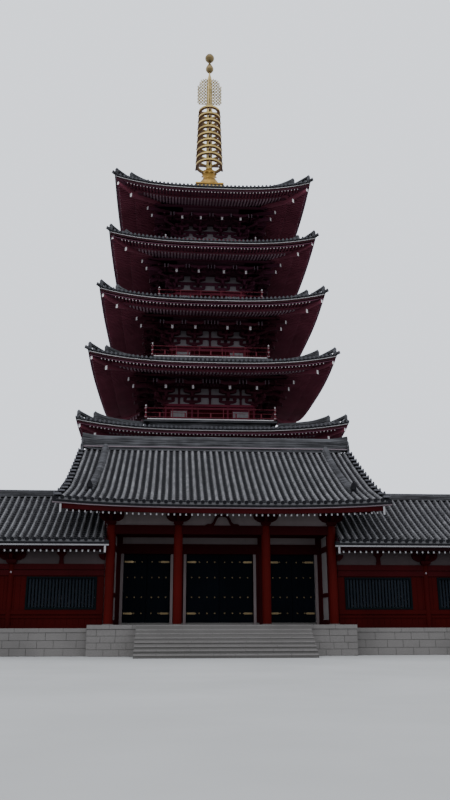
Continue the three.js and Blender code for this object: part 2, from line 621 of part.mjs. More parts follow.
// Wings
const wingEnd = WING.firstPost + WING.bay * WING.bays;
for (const [name, sign] of [['left', -1], ['right', 1]]) {
  const span = (a, b) => [Math.min(sign * a, sign * b), Math.max(sign * a, sign * b)];
  const along = (a, b, ...rest) => block(...span(a, b), ...rest);
  const wingRoof = {
    ...WING, backY: 2 * WING.ridgeY - WING.eaveY, edge: WING.eave + WING.tileEdge,
    thick: WING.roofThick, end: WING.roofEnd, lift: 0, stations: span(WING.inner, WING.roofEnd),
  };
  const front = WING.front;
  const frontBack = front + WING.thick;
  const outerEnd = wingEnd + WING.postHalf;
  const frontStrip = (proud, low, high) =>
    along(WING.inner, outerEnd, front - proud, frontBack, low, high);
  const pieces = [
    frontStrip(0, WING_BASE.top, WING.wallTop),
    frontStrip(WING.sillProud, WING_BASE.top, WING.sillTop),
    frontStrip(WING.beamProud, WING.beamLow, WING.beamTop),
  ];
  const holes = [];
  for (let bay = 0; bay < WING.bays; bay += 1) {
    const post = WING.firstPost + WING.bay * (bay + 1);
    pieces.push(along(post - WING.postHalf, post + WING.postHalf, front - WING.postProud, frontBack,
      WING_BASE.top, WING.wallTop));
    const start = WING.firstPost + WING.bay * bay + WING.windowInset;
    holes.push(along(start, start + WING.windowLong, front - WING.thick, frontBack + WING.thick,
      WING.windowLow, WING.windowHigh));
  }
  place(`wing_${name}_front_wall`, joined(pieces, holes), plaster);
  place(`wing_${name}_back_wall`, along(WING.inner, outerEnd, WING.back, WING_BASE.back,
    WING_BASE.top, WING.wallTop), plaster);
  const [end0, end1] = span(wingEnd - WING.postHalf, outerEnd);
  place(`wing_${name}_end_wall`, gableWall(wingRoof, end0, end1, frontBack, WING.back,
    WING_BASE.top), plaster);
  place(`wing_${name}_roof`, joined([
    gableRoof(wingRoof),
    along(WING.inner, WING.roofEnd - WING.stackInset, WING.ridgeY - WING.stackWide / 2,
      WING.ridgeY + WING.stackWide / 2, WING.ridge - 0.3, WING.stackTop),
  ]), tile);
}

export default pagoda;
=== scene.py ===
"""Half-size five-storey pagoda with a front hall and two wings: the detailed model."""
import math
import bpy
import numpy as np
from mathutils import Matrix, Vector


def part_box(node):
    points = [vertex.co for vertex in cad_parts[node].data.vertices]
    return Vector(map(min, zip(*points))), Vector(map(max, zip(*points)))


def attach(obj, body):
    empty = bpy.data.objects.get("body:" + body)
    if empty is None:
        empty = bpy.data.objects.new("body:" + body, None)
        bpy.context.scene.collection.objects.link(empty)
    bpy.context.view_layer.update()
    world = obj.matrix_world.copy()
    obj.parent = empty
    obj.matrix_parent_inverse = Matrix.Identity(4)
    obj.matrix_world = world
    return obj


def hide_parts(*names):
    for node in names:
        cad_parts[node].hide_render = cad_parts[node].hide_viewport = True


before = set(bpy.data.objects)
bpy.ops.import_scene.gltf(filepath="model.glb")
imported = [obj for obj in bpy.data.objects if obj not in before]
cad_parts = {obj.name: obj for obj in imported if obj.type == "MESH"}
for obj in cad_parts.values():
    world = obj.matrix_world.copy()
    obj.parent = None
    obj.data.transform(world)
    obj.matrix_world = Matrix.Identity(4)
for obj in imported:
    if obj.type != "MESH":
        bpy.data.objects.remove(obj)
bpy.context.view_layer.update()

# Sizes are metres of the full-size building, and SCALE brings them into the half-size frame
SCALE = 0.5

# Heights of each tower roof: the light line at the middle of an eave and at its corner
EAVES = [14.25, 19.345, 24.38, 29.345, 34.18]
CORNERS = [14.9, 20.05, 25.15, 30.01, 34.98]
# How far each roof's edge stands out past the frame's
PAST_EDGE = [0, 0, 0, 0, 0.1]
CENTRE_BAYS = [3.0, 2.75, 2.47, 2.0, 1.73]
SIDE_BAYS = [2.2, 2.02, 1.77, 1.76, 1.51]

# Heights over the wall top of the two plaster rows between the brackets, and of the tail
# rafters' ends, for each storey
PLASTER_ROWS = [(0.19, 0.74, 0.96, 1.48), (0.19, 0.74, 0.96, 1.48), (0.13, 0.69, 0.87, 1.45),
                (0.08, 0.59, 0.83, 1.4), (0.24, 0.69, 0.89, 1.41)]
TAIL_ENDS = [13.4, 18.47, 23.45, 28.4, 33.27]

# Pitches of the tower's rafters and tile rows
RAFTER_PITCH = 0.252
TILE_PITCH = 0.307
COURSE = 0.36

# The same curves as the frame's roofs
ROOF_HOLLOW = 0.3
SWEEP_POWER = 1.6
TILE_EDGE = 0.22
SLAB = 0.22
NECK_GAP = 0.12
CROWN = 37.7
TOP_NECK = 0.9
PURLIN_SHARE = 0.38
BASIN_HALF = 1.2


class Shape:
    """Points and faces of one piece, in metres of the full-size building."""

    def __init__(self):
        self.points = []
        self.texture = []
        self.loops = []
        self.sizes = []
        self.count = 0

    def add(self, points, *face_sets, texture=None):
        """Adds points, and faces as lists of equal-length rows of point numbers."""
        points = np.asarray(points, float)
        for faces in face_sets:
            faces = np.asarray(faces, int)
            self.loops.append((faces + self.count).ravel())
            self.sizes.append(np.full(len(faces), faces.shape[1]))
        self.points.append(points)
        self.texture.append(np.zeros((len(points), 2)) if texture is None else texture)
        self.count += len(points)
        return self

    def arrays(self):
        return (np.concatenate(self.points), np.concatenate(self.texture),
                np.concatenate(self.loops), np.concatenate(self.sizes))

    def stamp(self, other, places=None):
        """Adds another shape as it is, or a copy for each 3 by 4 matrix in places."""
        if not other.count:
            return self
        places = np.asarray([place()] if places is None else places, float).reshape(-1, 3, 4)
        points, texture, loops, sizes = other.arrays()
        mirrored = np.linalg.det(places[:, :, :3]) < 0
        for group, order in ((places[~mirrored], 1), (places[mirrored], -1)):
            many = len(group)
            if not many:
                continue
            copies = np.einsum("nij,mj->nmi", group[:, :, :3], points) + group[:, None, :, 3]
            starts = self.count + np.arange(many)[:, None] * len(points)
            self.points.append(copies.reshape(-1, 3))
            self.texture.append(np.tile(texture, (many, 1)))
            self.loops.append((loops[::order][None] + starts).ravel())
            self.sizes.append(np.tile(sizes[::order], many))
            self.count += many * len(points)
        return self

    def bent(self, function):
        """A copy whose points are moved by a function of the point array."""
        points, texture, loops, sizes = self.arrays()
        copy = Shape()
        copy.points, copy.texture = [function(points.copy())], [texture]
        copy.loops, copy.sizes, copy.count = [loops], [sizes], len(points)
        return copy


def place(x=0.0, y=0.0, z=0.0, turn=0.0, tilt=0.0, size=(1.0, 1.0, 1.0)):
    """A 3 by 4 matrix: scaled, tilted about X, turned about Z (degrees), then moved."""
    matrix = (Matrix.Translation((x, y, z)) @ Matrix.Rotation(math.radians(turn), 4, "Z")
              @ Matrix.Rotation(math.radians(tilt), 4, "X") @ Matrix.Diagonal((*size, 1.0)))
    return np.array(matrix)[:3]


QUARTERS = [place(turn=90 * side) for side in range(4)]


def four_sides(shape):
    """The shape and its three quarter turns about the tower's axis."""
    return Shape().stamp(shape, QUARTERS)


def both_sides(x=0.0, y=0.0):
    """Places of a shape at x and of its mirror image at -x."""
    return [place(x, y), place(-x, y, size=(-1, 1, 1))]


def side_span(side, near, far):
    """Two distances from the middle as x on one side, -1 or 1, the lower one first."""
    return sorted((side * near, side * far))


def both_halves(right):
    """A whole outline from its right half, which runs upwards."""
    return right + [(-x, z) for x, z in reversed(right)]


BOX_FACES = [(0, 3, 2, 1), (4, 5, 6, 7), (0, 1, 5, 4), (1, 2, 6, 5), (2, 3, 7, 6), (3, 0, 4, 7)]


def box(x0, x1, y0, y1, z0, z1, top=0.0):
    """A block; its top face is drawn in by top on every side."""
    low = [(x0, y0, z0), (x1, y0, z0), (x1, y1, z0), (x0, y1, z0)]
    high = [(x0 + top, y0 + top, z1), (x1 - top, y0 + top, z1),
            (x1 - top, y1 - top, z1), (x0 + top, y1 - top, z1)]
    return Shape().add(low + high, BOX_FACES)


def square_box(half, low, high, top=0.0):
    """A square block on the Z axis."""
    return box(-half, half, -half, half, low, high, top)


def bar(x, half, y0, y1, low, high):
    """A block whose width is centred on x."""
    return box(x - half, x + half, y0, y1, low, high)


def equal_parts(x0, x1, long, gap):
    """Splits a stretch into equal parts about as long as asked, cut in by a gap at both ends."""
    count = max(1, round((x1 - x0) / long))
    pitch = (x1 - x0) / count
    return [(x0 + i * pitch + gap, x0 + (i + 1) * pitch - gap) for i in range(count)]


def boxes(*sizes):
    """Several blocks in one shape."""
    shape = Shape()
    for size in sizes:
        shape.stamp(box(*size))
    return shape


def extrude(outline, low, high, along="y"):
    """A flat outline drawn out along an axis: (x, y) for z, (y, z) for x or (x, z) for y, with the
    first one to the right, the second one up and the points anticlockwise."""
    outline = np.asarray(outline, float)
    many = len(outline)
    ends = []
    for level in (low, high):
        flat = np.full(many, level)
        columns = {"x": (flat, outline[:, 0], outline[:, 1]), "y": (outline[:, 0], flat, outline[:, 1]),
                   "z": (outline[:, 0], outline[:, 1], flat)}[along]
        ends.append(np.stack(columns, 1))
    near = np.arange(many)
    following = np.roll(near, -1)
    sides = np.stack([near, following, following + many, near + many], 1)
    caps = np.stack([near[::-1], near + many])
    if along == "y":
        sides, caps = sides[:, ::-1], caps[:, ::-1]
    return Shape().add(np.concatenate(ends), sides, caps)


def sweep(path, section, closed=False, level=False):
    """An anticlockwise section of (right, up) points carried along a path."""
    path = np.asarray(path, float)
    section = np.asarray(section, float)
    ahead = np.roll(path, -1, 0) - path
    if closed:
        tangents = ahead + np.roll(ahead, 1, 0)
    else:
        tangents = np.vstack([ahead[:1], ahead[:-2] + ahead[1:-1], ahead[-2:-1]])
    tangents /= np.linalg.norm(tangents, axis=1)[:, None]
    sides = np.cross(tangents, (0, 0, 1))
    sides /= np.linalg.norm(sides, axis=1)[:, None]
    ups = np.tile((0.0, 0, 1), (len(path), 1)) if level else np.cross(sides, tangents)
    points = (path[:, None] + sides[:, None] * section[None, :, :1] + ups[:, None] * section[None, :, 1:])
    rows, many = len(path), len(section)
    shape = Shape()
    faces = grid_faces(rows, many, closed, True)[:, ::-1]
    end = (rows - 1) * many + np.arange(many)
    caps = [] if closed else [np.stack([np.arange(many), end[::-1]])]
    return shape.add(points.reshape(-1, 3), faces, *caps)


def grid_faces(rows, columns, wrap_rows=False, wrap_columns=False):
    """Faces of a grid of points in row order."""
    r = np.arange(rows if wrap_rows else rows - 1)
    c = np.arange(columns if wrap_columns else columns - 1)
    r, c = np.meshgrid(r, c, indexing="ij")
    r2, c2 = (r + 1) % rows, (c + 1) % columns
    faces = np.stack([r * columns + c, r * columns + c2, r2 * columns + c2, r2 * columns + c], -1)
    return faces.reshape(-1, 4)


def lathe(profile, segments=16, ring=False):
    """A profile of (radius, height) points turned about the Z axis, upwards on the outside."""
    profile = np.asarray(profile, float)
    angles = np.arange(segments) * 2 * math.pi / segments
    radius, height = profile[:, 0], profile[:, 1]
    points = np.stack([np.outer(radius, np.cos(angles)), np.outer(radius, np.sin(angles)),
                       np.repeat(height[:, None], segments, 1)], -1)
    rows = len(profile)
    faces = grid_faces(rows, segments, ring, True)
    caps = []
    if not ring:
        base = np.arange(segments)
        caps = [np.stack([base[::-1], (rows - 1) * segments + base])]
    return Shape().add(points.reshape(-1, 3), faces, *caps)


def arc(cx, cz, radius, start, end, steps):
    """Points on an arc, as (x, z), angles in degrees."""
    angles = np.radians(np.linspace(start, end, steps))
    return [(cx + radius * math.cos(a), cz + radius * math.sin(a)) for a in angles]


def size_of(node):
    """Lowest and highest corner of a frame node, in full-size metres."""
    low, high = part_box(node)
    return np.array(low) / SCALE, np.array(high) / SCALE


# Level of gloss on everything that isn't metal
DULL_GLOSS = 0.02


class Paint:
    """A material whose colours are worked out from the piece's own coordinates."""

    def __init__(self, name, roughness, metallic=0.0):
        self.material = bpy.data.materials.new(name)
        self.material.use_nodes = True
        self.nodes = self.material.node_tree.nodes
        self.links = self.material.node_tree.links
        self.shader = self.nodes["Principled BSDF"].inputs
        self.shader["Roughness"].default_value = roughness
        self.shader["Metallic"].default_value = metallic
        self.shader["Specular IOR Level"].default_value = 0.5 if metallic else DULL_GLOSS
        self.at = self.nodes.new("ShaderNodeTexCoord").outputs

    def feed(self, key, source):
        """Links an output to one of the shader's inputs."""
        self.links.new(source, self.shader[key])

    def node(self, kind, output, inputs):
        """A new node with its inputs as numbers, colours, vectors or outputs: one of its outputs."""
        made = self.nodes.new("ShaderNode" + kind)
        for key, value in inputs.items():
            self.put(made.inputs[key], value)
        return made.outputs[output]

    def put(self, socket, value):
        if isinstance(value, (int, float)):
            socket.default_value = value
        elif isinstance(value, tuple):
            socket.default_value = (*value, 1) if socket.type == "RGBA" else value
        else:
            self.links.new(value, socket)

    def noise(self, scale, detail, stretch=None):
        """Soft noise, closer together along an axis by its number in stretch."""
        vector = self.at["Object"]
        if stretch:
            vector = self.node("Mapping", "Vector", {"Vector": vector, "Scale": stretch})
        return self.node("TexNoise", "Fac", {"Vector": vector, "Scale": scale, "Detail": detail,
                                             "Roughness": 0.55})

    def ramp(self, value, *stops):
        """A colour ramp; stops are (place, colour) pairs."""
        made = self.nodes.new("ShaderNodeValToRGB")
        elements = made.color_ramp.elements
        for element, (at, color) in zip(elements, (stops[0], stops[-1])):
            element.position, element.color = at, (*color, 1)
        for at, color in stops[1:-1]:
            elements.new(at).color = (*color, 1)
        self.links.new(value, made.inputs["Fac"])
        return made.outputs["Color"]

    def span(self, value, low, high, to_low=0.0, to_high=1.0):
        """Maps a value from one span to another."""
        return self.node("MapRange", "Result", {"Value": value, "From Min": low, "From Max": high,
                                                "To Min": to_low, "To Max": to_high})

    def arithmetic(self, kind, *values):
        made = self.nodes.new("ShaderNodeMath")
        made.operation = kind
        for socket, value in zip(made.inputs, values):
            self.put(socket, value)
        return made.outputs["Value"]

    def blend(self, factor, first, second, kind="MIX"):
        """Mixes two colours."""
        made = self.nodes.new("ShaderNodeMix")
        made.data_type, made.blend_type = "RGBA", kind
        for socket, value in zip((made.inputs[0], *made.inputs[6:8]), (factor, first, second)):
            self.put(socket, value)
        return made.outputs[2]

    def facing_down(self, start, full):
        """From 0 to 1 as a face turns downwards, between two values of its normal's Z: the mask for painted
        light and painted shade on undersides.
        """
        return self.span(self.node("SeparateXYZ", "Z", {"Vector": self.at["Normal"]}), start, full)

    def bump(self, height, strength, distance):
        self.feed("Normal", self.node("Bump", "Normal", {"Strength": strength, "Distance": distance,
                                                         "Height": height}))


def shades(color, amount):
    """A darker and a lighter tone of a colour."""
    return tuple(c * (1 - amount) for c in color), tuple(min(c * (1 + amount), 1) for c in color)


def painted_timber(name, color, roughness=0.7, vary=0.22):
    """Paint on wood: soft blotches, faint upright streaks and a brushed surface."""
    paint = Paint(name, roughness)
    dark, light = shades(color, vary)
    blotches = paint.noise(0.9, 5)
    base = paint.ramp(blotches, (0.3, dark), (0.5, color), (0.72, light))
    worn = paint.span(paint.noise(1.6, 4, (9, 9, 0.8)), 0.52, 0.75, 0, 0.35)
    paint.feed("Base Color", paint.blend(worn, base, dark))
    paint.feed("Roughness", paint.span(blotches, 0.3, 0.7, roughness - 0.08, roughness + 0.12))
    paint.bump(paint.noise(1.0, 3, (60, 60, 8)), 0.15, 0.004)
    return paint.material


def lime_plaster(name, color, stain=0.2):
    """Plaster or white paint with grey weathering that gathers in patches."""
    paint = Paint(name, 0.8)
    dark, light = shades(color, 0.12)
    base = paint.ramp(paint.noise(0.7, 6), (0.3, dark), (0.7, light))
    drips = paint.span(paint.noise(1.2, 4, (5, 5, 0.6)), 0.5, 0.8, 0, stain)
    soiled, _ = shades(color, 0.38)
    paint.feed("Base Color", paint.blend(drips, base, soiled))
    paint.bump(paint.noise(26, 4), 0.2, 0.004)
    return paint.material


def roof_tiles(name, color, pan_shade_and_dirt, lap_highlight):
    """Fired grey tiles: the UV map counts rows across and courses up the slope."""
    paint = Paint(name, 0.6)
    row = paint.node("SeparateXYZ", "X", {"Vector": paint.at["UV"]})
    course = paint.node("SeparateXYZ", "Y", {"Vector": paint.at["UV"]})
    whole = paint.node("CombineXYZ", "Vector", {
        "X": paint.arithmetic("FLOOR", paint.arithmetic("MULTIPLY", row, 2.0)),
        "Y": paint.arithmetic("FLOOR", course)})
    each = paint.nodes.new("ShaderNodeTexWhiteNoise")
    each.noise_dimensions = "2D"
    paint.links.new(whole, each.inputs["Vector"])
    single = paint.span(each.outputs["Value"], 0, 1, 0.75, 1.15)
    across = paint.arithmetic("ABSOLUTE", paint.arithmetic("SUBTRACT", paint.arithmetic("FRACT", row), 0.5))
    cover = paint.span(across, 0.2, 0.25, 1, 0)
    up = paint.arithmetic("FRACT", course)
    lap = paint.arithmetic("MAXIMUM", paint.span(up, 0.0, 0.12, 1, 0), paint.span(up, 0.996, 0.999, 0, 1))
    weather, fine = paint.noise(1.3, 6), paint.noise(22, 4)
    dark, light = shades(color, 0.25)
    base = paint.ramp(weather, (0.3, dark), (0.55, color), (0.75, light))
    base = paint.blend(1.0, base, single, "MULTIPLY")
    speckle = paint.arithmetic("MULTIPLY", paint.span(fine, 0.38, 0.6, 0.68, 1.2),
                               paint.span(up, 0.0, 0.14, 0.62, 1.0))
    base = paint.blend(1.0, base, speckle, "MULTIPLY")
    # Pans are darker than the covers: partly dirt, partly painted shade between the covers
    pan_dark, pan_light = shades(pan_shade_and_dirt, 0.3)
    pan = paint.ramp(fine, (0.35, pan_dark), (0.7, pan_light))
    # A painted highlight on each pan's lap, as if its lip caught the light
    pan = paint.blend(paint.arithmetic("MULTIPLY", lap, 0.85), pan, lap_highlight)
    pan = paint.blend(1.0, pan, single, "MULTIPLY")
    paint.feed("Base Color", paint.blend(cover, pan, base))
    paint.feed("Roughness", paint.span(weather, 0.3, 0.7, 0.5, 0.72))
    paint.bump(paint.arithmetic("ADD", lap, paint.arithmetic("MULTIPLY", fine, 0.35)), 0.3, 0.012)
    return paint.material


def ridge_courses(name, color):
    """Thin level courses of tile, weathered unevenly."""
    paint = Paint(name, 0.7)
    layers = paint.noise(1.0, 4, (1.2, 1.2, 26))
    dark, light = shades(color, 0.5)
    base = paint.ramp(layers, (0.35, dark), (0.5, color), (0.66, light))
    mottled = paint.span(paint.noise(2.2, 5), 0.3, 0.7, 0.7, 1.25)
    paint.feed("Base Color", paint.blend(1.0, base, mottled, "MULTIPLY"))
    paint.bump(layers, 0.3, 0.01)
    return paint.material


def underlit_rafter_paint(name, side, under):
    """Dark paint with painted light on the undersides: faces that turn downwards get a lighter tone, as if
    lit from below.
    """
    paint = Paint(name, 0.7)
    base = paint.blend(paint.facing_down(-0.75, -0.92), side, under)
    mottled = paint.span(paint.noise(1.7, 5), 0.3, 0.7, 0.8, 1.2)
    paint.feed("Base Color", paint.blend(1.0, base, mottled, "MULTIPLY"))
    return paint.material


def cut_stone(name, color):
    """Granite: speckled, with darker damp patches."""
    paint = Paint(name, 0.85)
    dark, light = shades(color, 0.16)
    base = paint.ramp(paint.noise(70, 3), (0.32, dark), (0.68, light))
    damp = paint.span(paint.noise(0.6, 6), 0.48, 0.78, 0, 0.7)
    soiled, _ = shades(color, 0.4)
    paint.feed("Base Color", paint.blend(damp, base, soiled))
    paint.bump(paint.noise(45, 5), 0.3, 0.004)
    return paint.material


def gilding(name, color, under=None):
    """Dull gilt metal with darker tarnish; the optional second tone on its undersides is painted shade."""
    paint = Paint(name, 0.4, 0.75)
    dark, light = shades(color, 0.3)
    tarnish = paint.noise(3.5, 6)
    base = paint.ramp(tarnish, (0.28, dark), (0.5, color), (0.75, light))
    # painted shade on the undersides
    if under:
        base = paint.blend(paint.facing_down(-0.4, -0.8), base, under)
    paint.feed("Base Color", base)
    paint.feed("Roughness", paint.span(tarnish, 0.3, 0.7, 0.5, 0.32))
    paint.bump(paint.noise(30, 4), 0.12, 0.003)
    return paint.material


# Finishes of the pieces, under the frame's slot that each of them belongs to
FINISHES = {
    "roof_tile": {
        # In each roof tile finish the pans' colour is partly painted shade, and the third colour is a
        # painted highlight on the pans' laps
        "tile": roof_tiles("grey_tile", (0.115, 0.115, 0.123), (0.035, 0.035, 0.04), (0.08, 0.08, 0.087)),
        "light_tile": roof_tiles("light_grey_tile", (0.165, 0.163, 0.168), (0.026, 0.026, 0.028),
                                 (0.105, 0.104, 0.108)),
        # Near-black tile: on the beds and round tile ends under the eave edges it stands for painted shade
        "dark_tile": cut_stone("dark_grey_tile", (0.015, 0.015, 0.017)),
        "ridge": ridge_courses("ridge_tile", (0.07, 0.07, 0.074)),
    },
    "maroon_timber": {
        "crimson": painted_timber("crimson_paint", (0.028, 0.003, 0.0038), 0.6),
        "maroon": painted_timber("maroon_paint", (0.12, 0.021, 0.036), 0.65),
        "shaded": painted_timber("dark_maroon_paint", (0.12, 0.046, 0.072)),
        "bracket": painted_timber("shadow_red_paint", (0.045, 0.011, 0.018)),
        "high_bracket": painted_timber("shadow_purple_paint", (0.055, 0.015, 0.028)),
        "soffit": painted_timber("soffit_paint", (0.145, 0.038, 0.058)),
        # Near-black red for the wing fascia: painted shade under the tile edge
        "dusk": painted_timber("dusk_red_paint", (0.008, 0.0024, 0.003)),
        "fascia": painted_timber("eave_board_paint", (0.03, 0.011, 0.014)),
        # beam: a much darker red for beams, brackets, lintels and rafters under the eaves and in the porch:
        # painted shade
        "beam": painted_timber("deep_red_paint", (0.02, 0.0022, 0.003), 0.65),
        "dark_red": painted_timber("dark_red_paint", (0.034, 0.0035, 0.005), 0.6),
        # rafter: painted light, a lighter tone on the undersides of the base rafters
        "rafter": underlit_rafter_paint("mauve_paint", (0.17, 0.068, 0.098), (0.26, 0.16, 0.2)),
    },
    "red_timber": {
        "red": painted_timber("red_paint", (0.052, 0.0038, 0.0032), 0.5),
        # wing_red: a darker copy of the red for the wing boards: painted shade under the wing eaves
        "wing_red": painted_timber("deep_red_board_paint", (0.03, 0.002, 0.0018), 0.5),
        "rose": painted_timber("faded_red_paint", (0.16, 0.034, 0.046), 0.6),
    },
    "plaster": {
        # The white-painted ends under the eaves take dimmer copies of the white: grey white on the bracket
        # ends, darker grey white on the base rafter ends and dim white on the lattice ends, as painted shade
        "white": lime_plaster("white_paint", (0.62, 0.6, 0.6)),
        "bright": lime_plaster("bright_white_paint", (0.8, 0.77, 0.77), 0.1),
        "plate": lime_plaster("grey_white_paint", (0.43, 0.405, 0.41)),
        "faded": lime_plaster("faded_white_paint", (0.2, 0.165, 0.18)),
        "rib": lime_plaster("dim_white_paint", (0.105, 0.075, 0.093)),
        "pale": lime_plaster("pale_grey_paint", (0.29, 0.283, 0.292)),
        "plaster": lime_plaster("lime_plaster", (0.22, 0.2, 0.2), 0.35),
        # wing_plaster: a darker copy of the plaster for the wing friezes: painted shade under the wing eaves
        "wing_plaster": lime_plaster("wing_plaster", (0.052, 0.041, 0.042), 0.35),
        # row_plaster: a darker, pinker copy of the plaster for the rows between the tower's brackets:
        # painted shade under the eaves
        "row_plaster": lime_plaster("row_plaster", (0.175, 0.155, 0.165), 0.35),
        "shaded_plaster": lime_plaster("grey_plaster", (0.125, 0.103, 0.103), 0.35),
    },
    "stone": {
        "pale_stone": cut_stone("pale_granite", (0.155, 0.147, 0.14)),
        "stone": cut_stone("granite", (0.1, 0.095, 0.09)),
    },
    "gilt_metal": {
        "gilt": gilding("dull_gilt", (0.34, 0.2, 0.045)),
        "pale_gilt": gilding("pale_gilt", (0.46, 0.345, 0.15)),
        # ring_gilt: painted shade, a darker tone on the rings' undersides
        "ring_gilt": gilding("ring_gilt", (0.4, 0.29, 0.1), (0.16, 0.085, 0.045)),
        "olive": gilding("olive_bronze", (0.2, 0.145, 0.065)),
        "fitting": gilding("door_fitting", (0.16, 0.115, 0.055)),
        "flame": gilding("flame_bronze", (0.28, 0.215, 0.085)),
        "bronze": gilding("dark_bronze", (0.085, 0.052, 0.042)),
    },
    "door_paint": {
        "door": painted_timber("near_black_paint", (0.0022, 0.0032, 0.005), 0.7, 0.35),
        "teal": painted_timber("dark_teal_paint", (0.003, 0.005, 0.006), 0.7, 0.2),
        "slat": painted_timber("blue_grey_paint", (0.01, 0.013, 0.017), 0.7, 0.25),
    },
}
MATERIALS = {name: paint for finishes in FINISHES.values() for name, paint in finishes.items()}


def piece(name, shape, finish, body="building", replaces=(), smooth=32.0):
    """Makes one object of the model from a shape, and joins it to the frame."""
    points, texture, loops, sizes = shape.arrays()
    mesh = bpy.data.meshes.new(name)
    mesh.vertices.add(len(points))
    mesh.vertices.foreach_set("co", (points * SCALE).astype(np.float32).ravel())
    mesh.loops.add(len(loops))
    mesh.loops.foreach_set("vertex_index", loops.astype(np.int32))
    mesh.polygons.add(len(sizes))
    starts = np.concatenate([[0], np.cumsum(sizes)[:-1]])
    mesh.polygons.foreach_set("loop_start", starts.astype(np.int32))
    mesh.update(calc_edges=True)
    mesh.polygons.foreach_set("use_smooth", np.ones(len(sizes), bool))
    if np.any(texture):
        layer = mesh.uv_layers.new(name="UVMap")
        layer.data.foreach_set("uv", texture[loops].astype(np.float32).ravel())
    mesh.set_sharp_from_angle(angle=math.radians(smooth))
    mesh.materials.append(MATERIALS[finish])
    made = bpy.data.objects.new(name, mesh)
    bpy.context.scene.collection.objects.link(made)
    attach(made, body)
    if replaces:
        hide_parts(*replaces)
    return made


def pieces(prefix, *rows):
    """Makes fixed pieces from rows of (end of the name, shape, finish, node it replaces if any)."""
    for ending, shape, finish, *replaced in rows:
        piece(f"{prefix}_{ending}", shape, finish, replaces=replaced)


def repaint(node, finish):
    """Gives a frame node that stays in view its finish."""
    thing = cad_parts[node]
    thing.data.materials.clear()
    thing.data.materials.append(MATERIALS[finish])


class Storey:
    """One storey of the tower, counted from the ground up, with its sizes read from the frame."""

    def __init__(self, number):
        self.number, self.index, self.name = number, number - 1, f"storey_{number}"
        low, high = size_of(f"{self.name}_walls")
        self.body, self.floor, self.wall_top = high[0], low[2], high[2]
        self.half = size_of(f"{self.name}_roof")[1][0] + PAST_EDGE[self.index]
        self.eave, self.corner = EAVES[self.index], CORNERS[self.index]
        self.centre_bay, self.side_bay = CENTRE_BAYS[self.index], SIDE_BAYS[self.index]
        self.purlin = self.body + (self.half - self.body) * PURLIN_SHARE
        self.plaster_rows = [self.wall_top + rise for rise in PLASTER_ROWS[self.index]]
        self.tail_end = TAIL_ENDS[self.index]
        self.veranda = size_of(f"{self.name}_veranda")[1][0] if number > 1 else None
        top = number == len(EAVES)
        above = None if top else size_of(f"storey_{number + 1}_walls")
        self.veranda_above = None if top else size_of(f"storey_{number + 1}_veranda")[1][0]
        self.neck = TOP_NECK if top else above[1][0]
        self.crest = CROWN if top else above[0][2] - SLAB - NECK_GAP

    def share(self, distance):
        """How far up the slope a distance from the axis lies, from 0 at the eave."""
        return np.clip((self.half - distance) / (self.half - self.neck), 0, 1)

    def lift(self, x, distance):
        """Upward sweep towards the corners."""
        along = np.clip(np.abs(x) / np.maximum(distance, 0.01), 0, 1.02)
        return (self.corner - self.eave) * (1 - self.share(distance)) ** SWEEP_POWER * along ** 3

    def surface(self, x, distance):
        """Height of the tile bed."""
        t = self.share(distance)
        edge = self.eave + TILE_EDGE
        height = edge + (self.crest - edge) * ((1 - ROOF_HOLLOW) * t + ROOF_HOLLOW * t * t)
        return height + self.lift(x, distance)

    def swept(self, points):
        """Lifts points of the front side by the corner sweep."""
        points[:, 2] += self.lift(points[:, 0], -points[:, 1])
        return points


TOWER = [Storey(number) for number in range(1, len(EAVES) + 1)]

COVER_PHASES = [-0.27, -0.2, -0.11, 0.0, 0.11, 0.2, 0.27, 0.5]
COVER_HEIGHTS = [0.0, 0.065, 0.105, 0.125, 0.105, 0.065, 0.0, -0.025]


def tile_columns(low, high, pitch, phases=COVER_PHASES, heights=COVER_HEIGHTS):
    """Places across a roof: (x, height over the bed, row number) of each line of points."""
    rows = max(1, round((high - low) / pitch))
    step = (high - low) / rows
    columns = [(low, -0.02, 0.0)]
    for row in range(rows):
        for phase, height in zip(phases, heights):
            columns.append((low + (row + 0.5 + phase) * step, height, row + 0.5 + phase))
    return np.array(columns), step


def tile_end(radius=0.09, deep=0.06):
    """Round end of a cover tile, facing the front, with a raised rim and boss."""
    rim = radius * 0.74
    profile = [(radius, 0), (radius, deep), (rim, deep), (rim * 0.92, deep - 0.015),
               (rim * 0.45, deep - 0.012), (rim * 0.2, deep + 0.004)]
    return Shape().stamp(lathe(profile, 10), [place(tilt=90)])


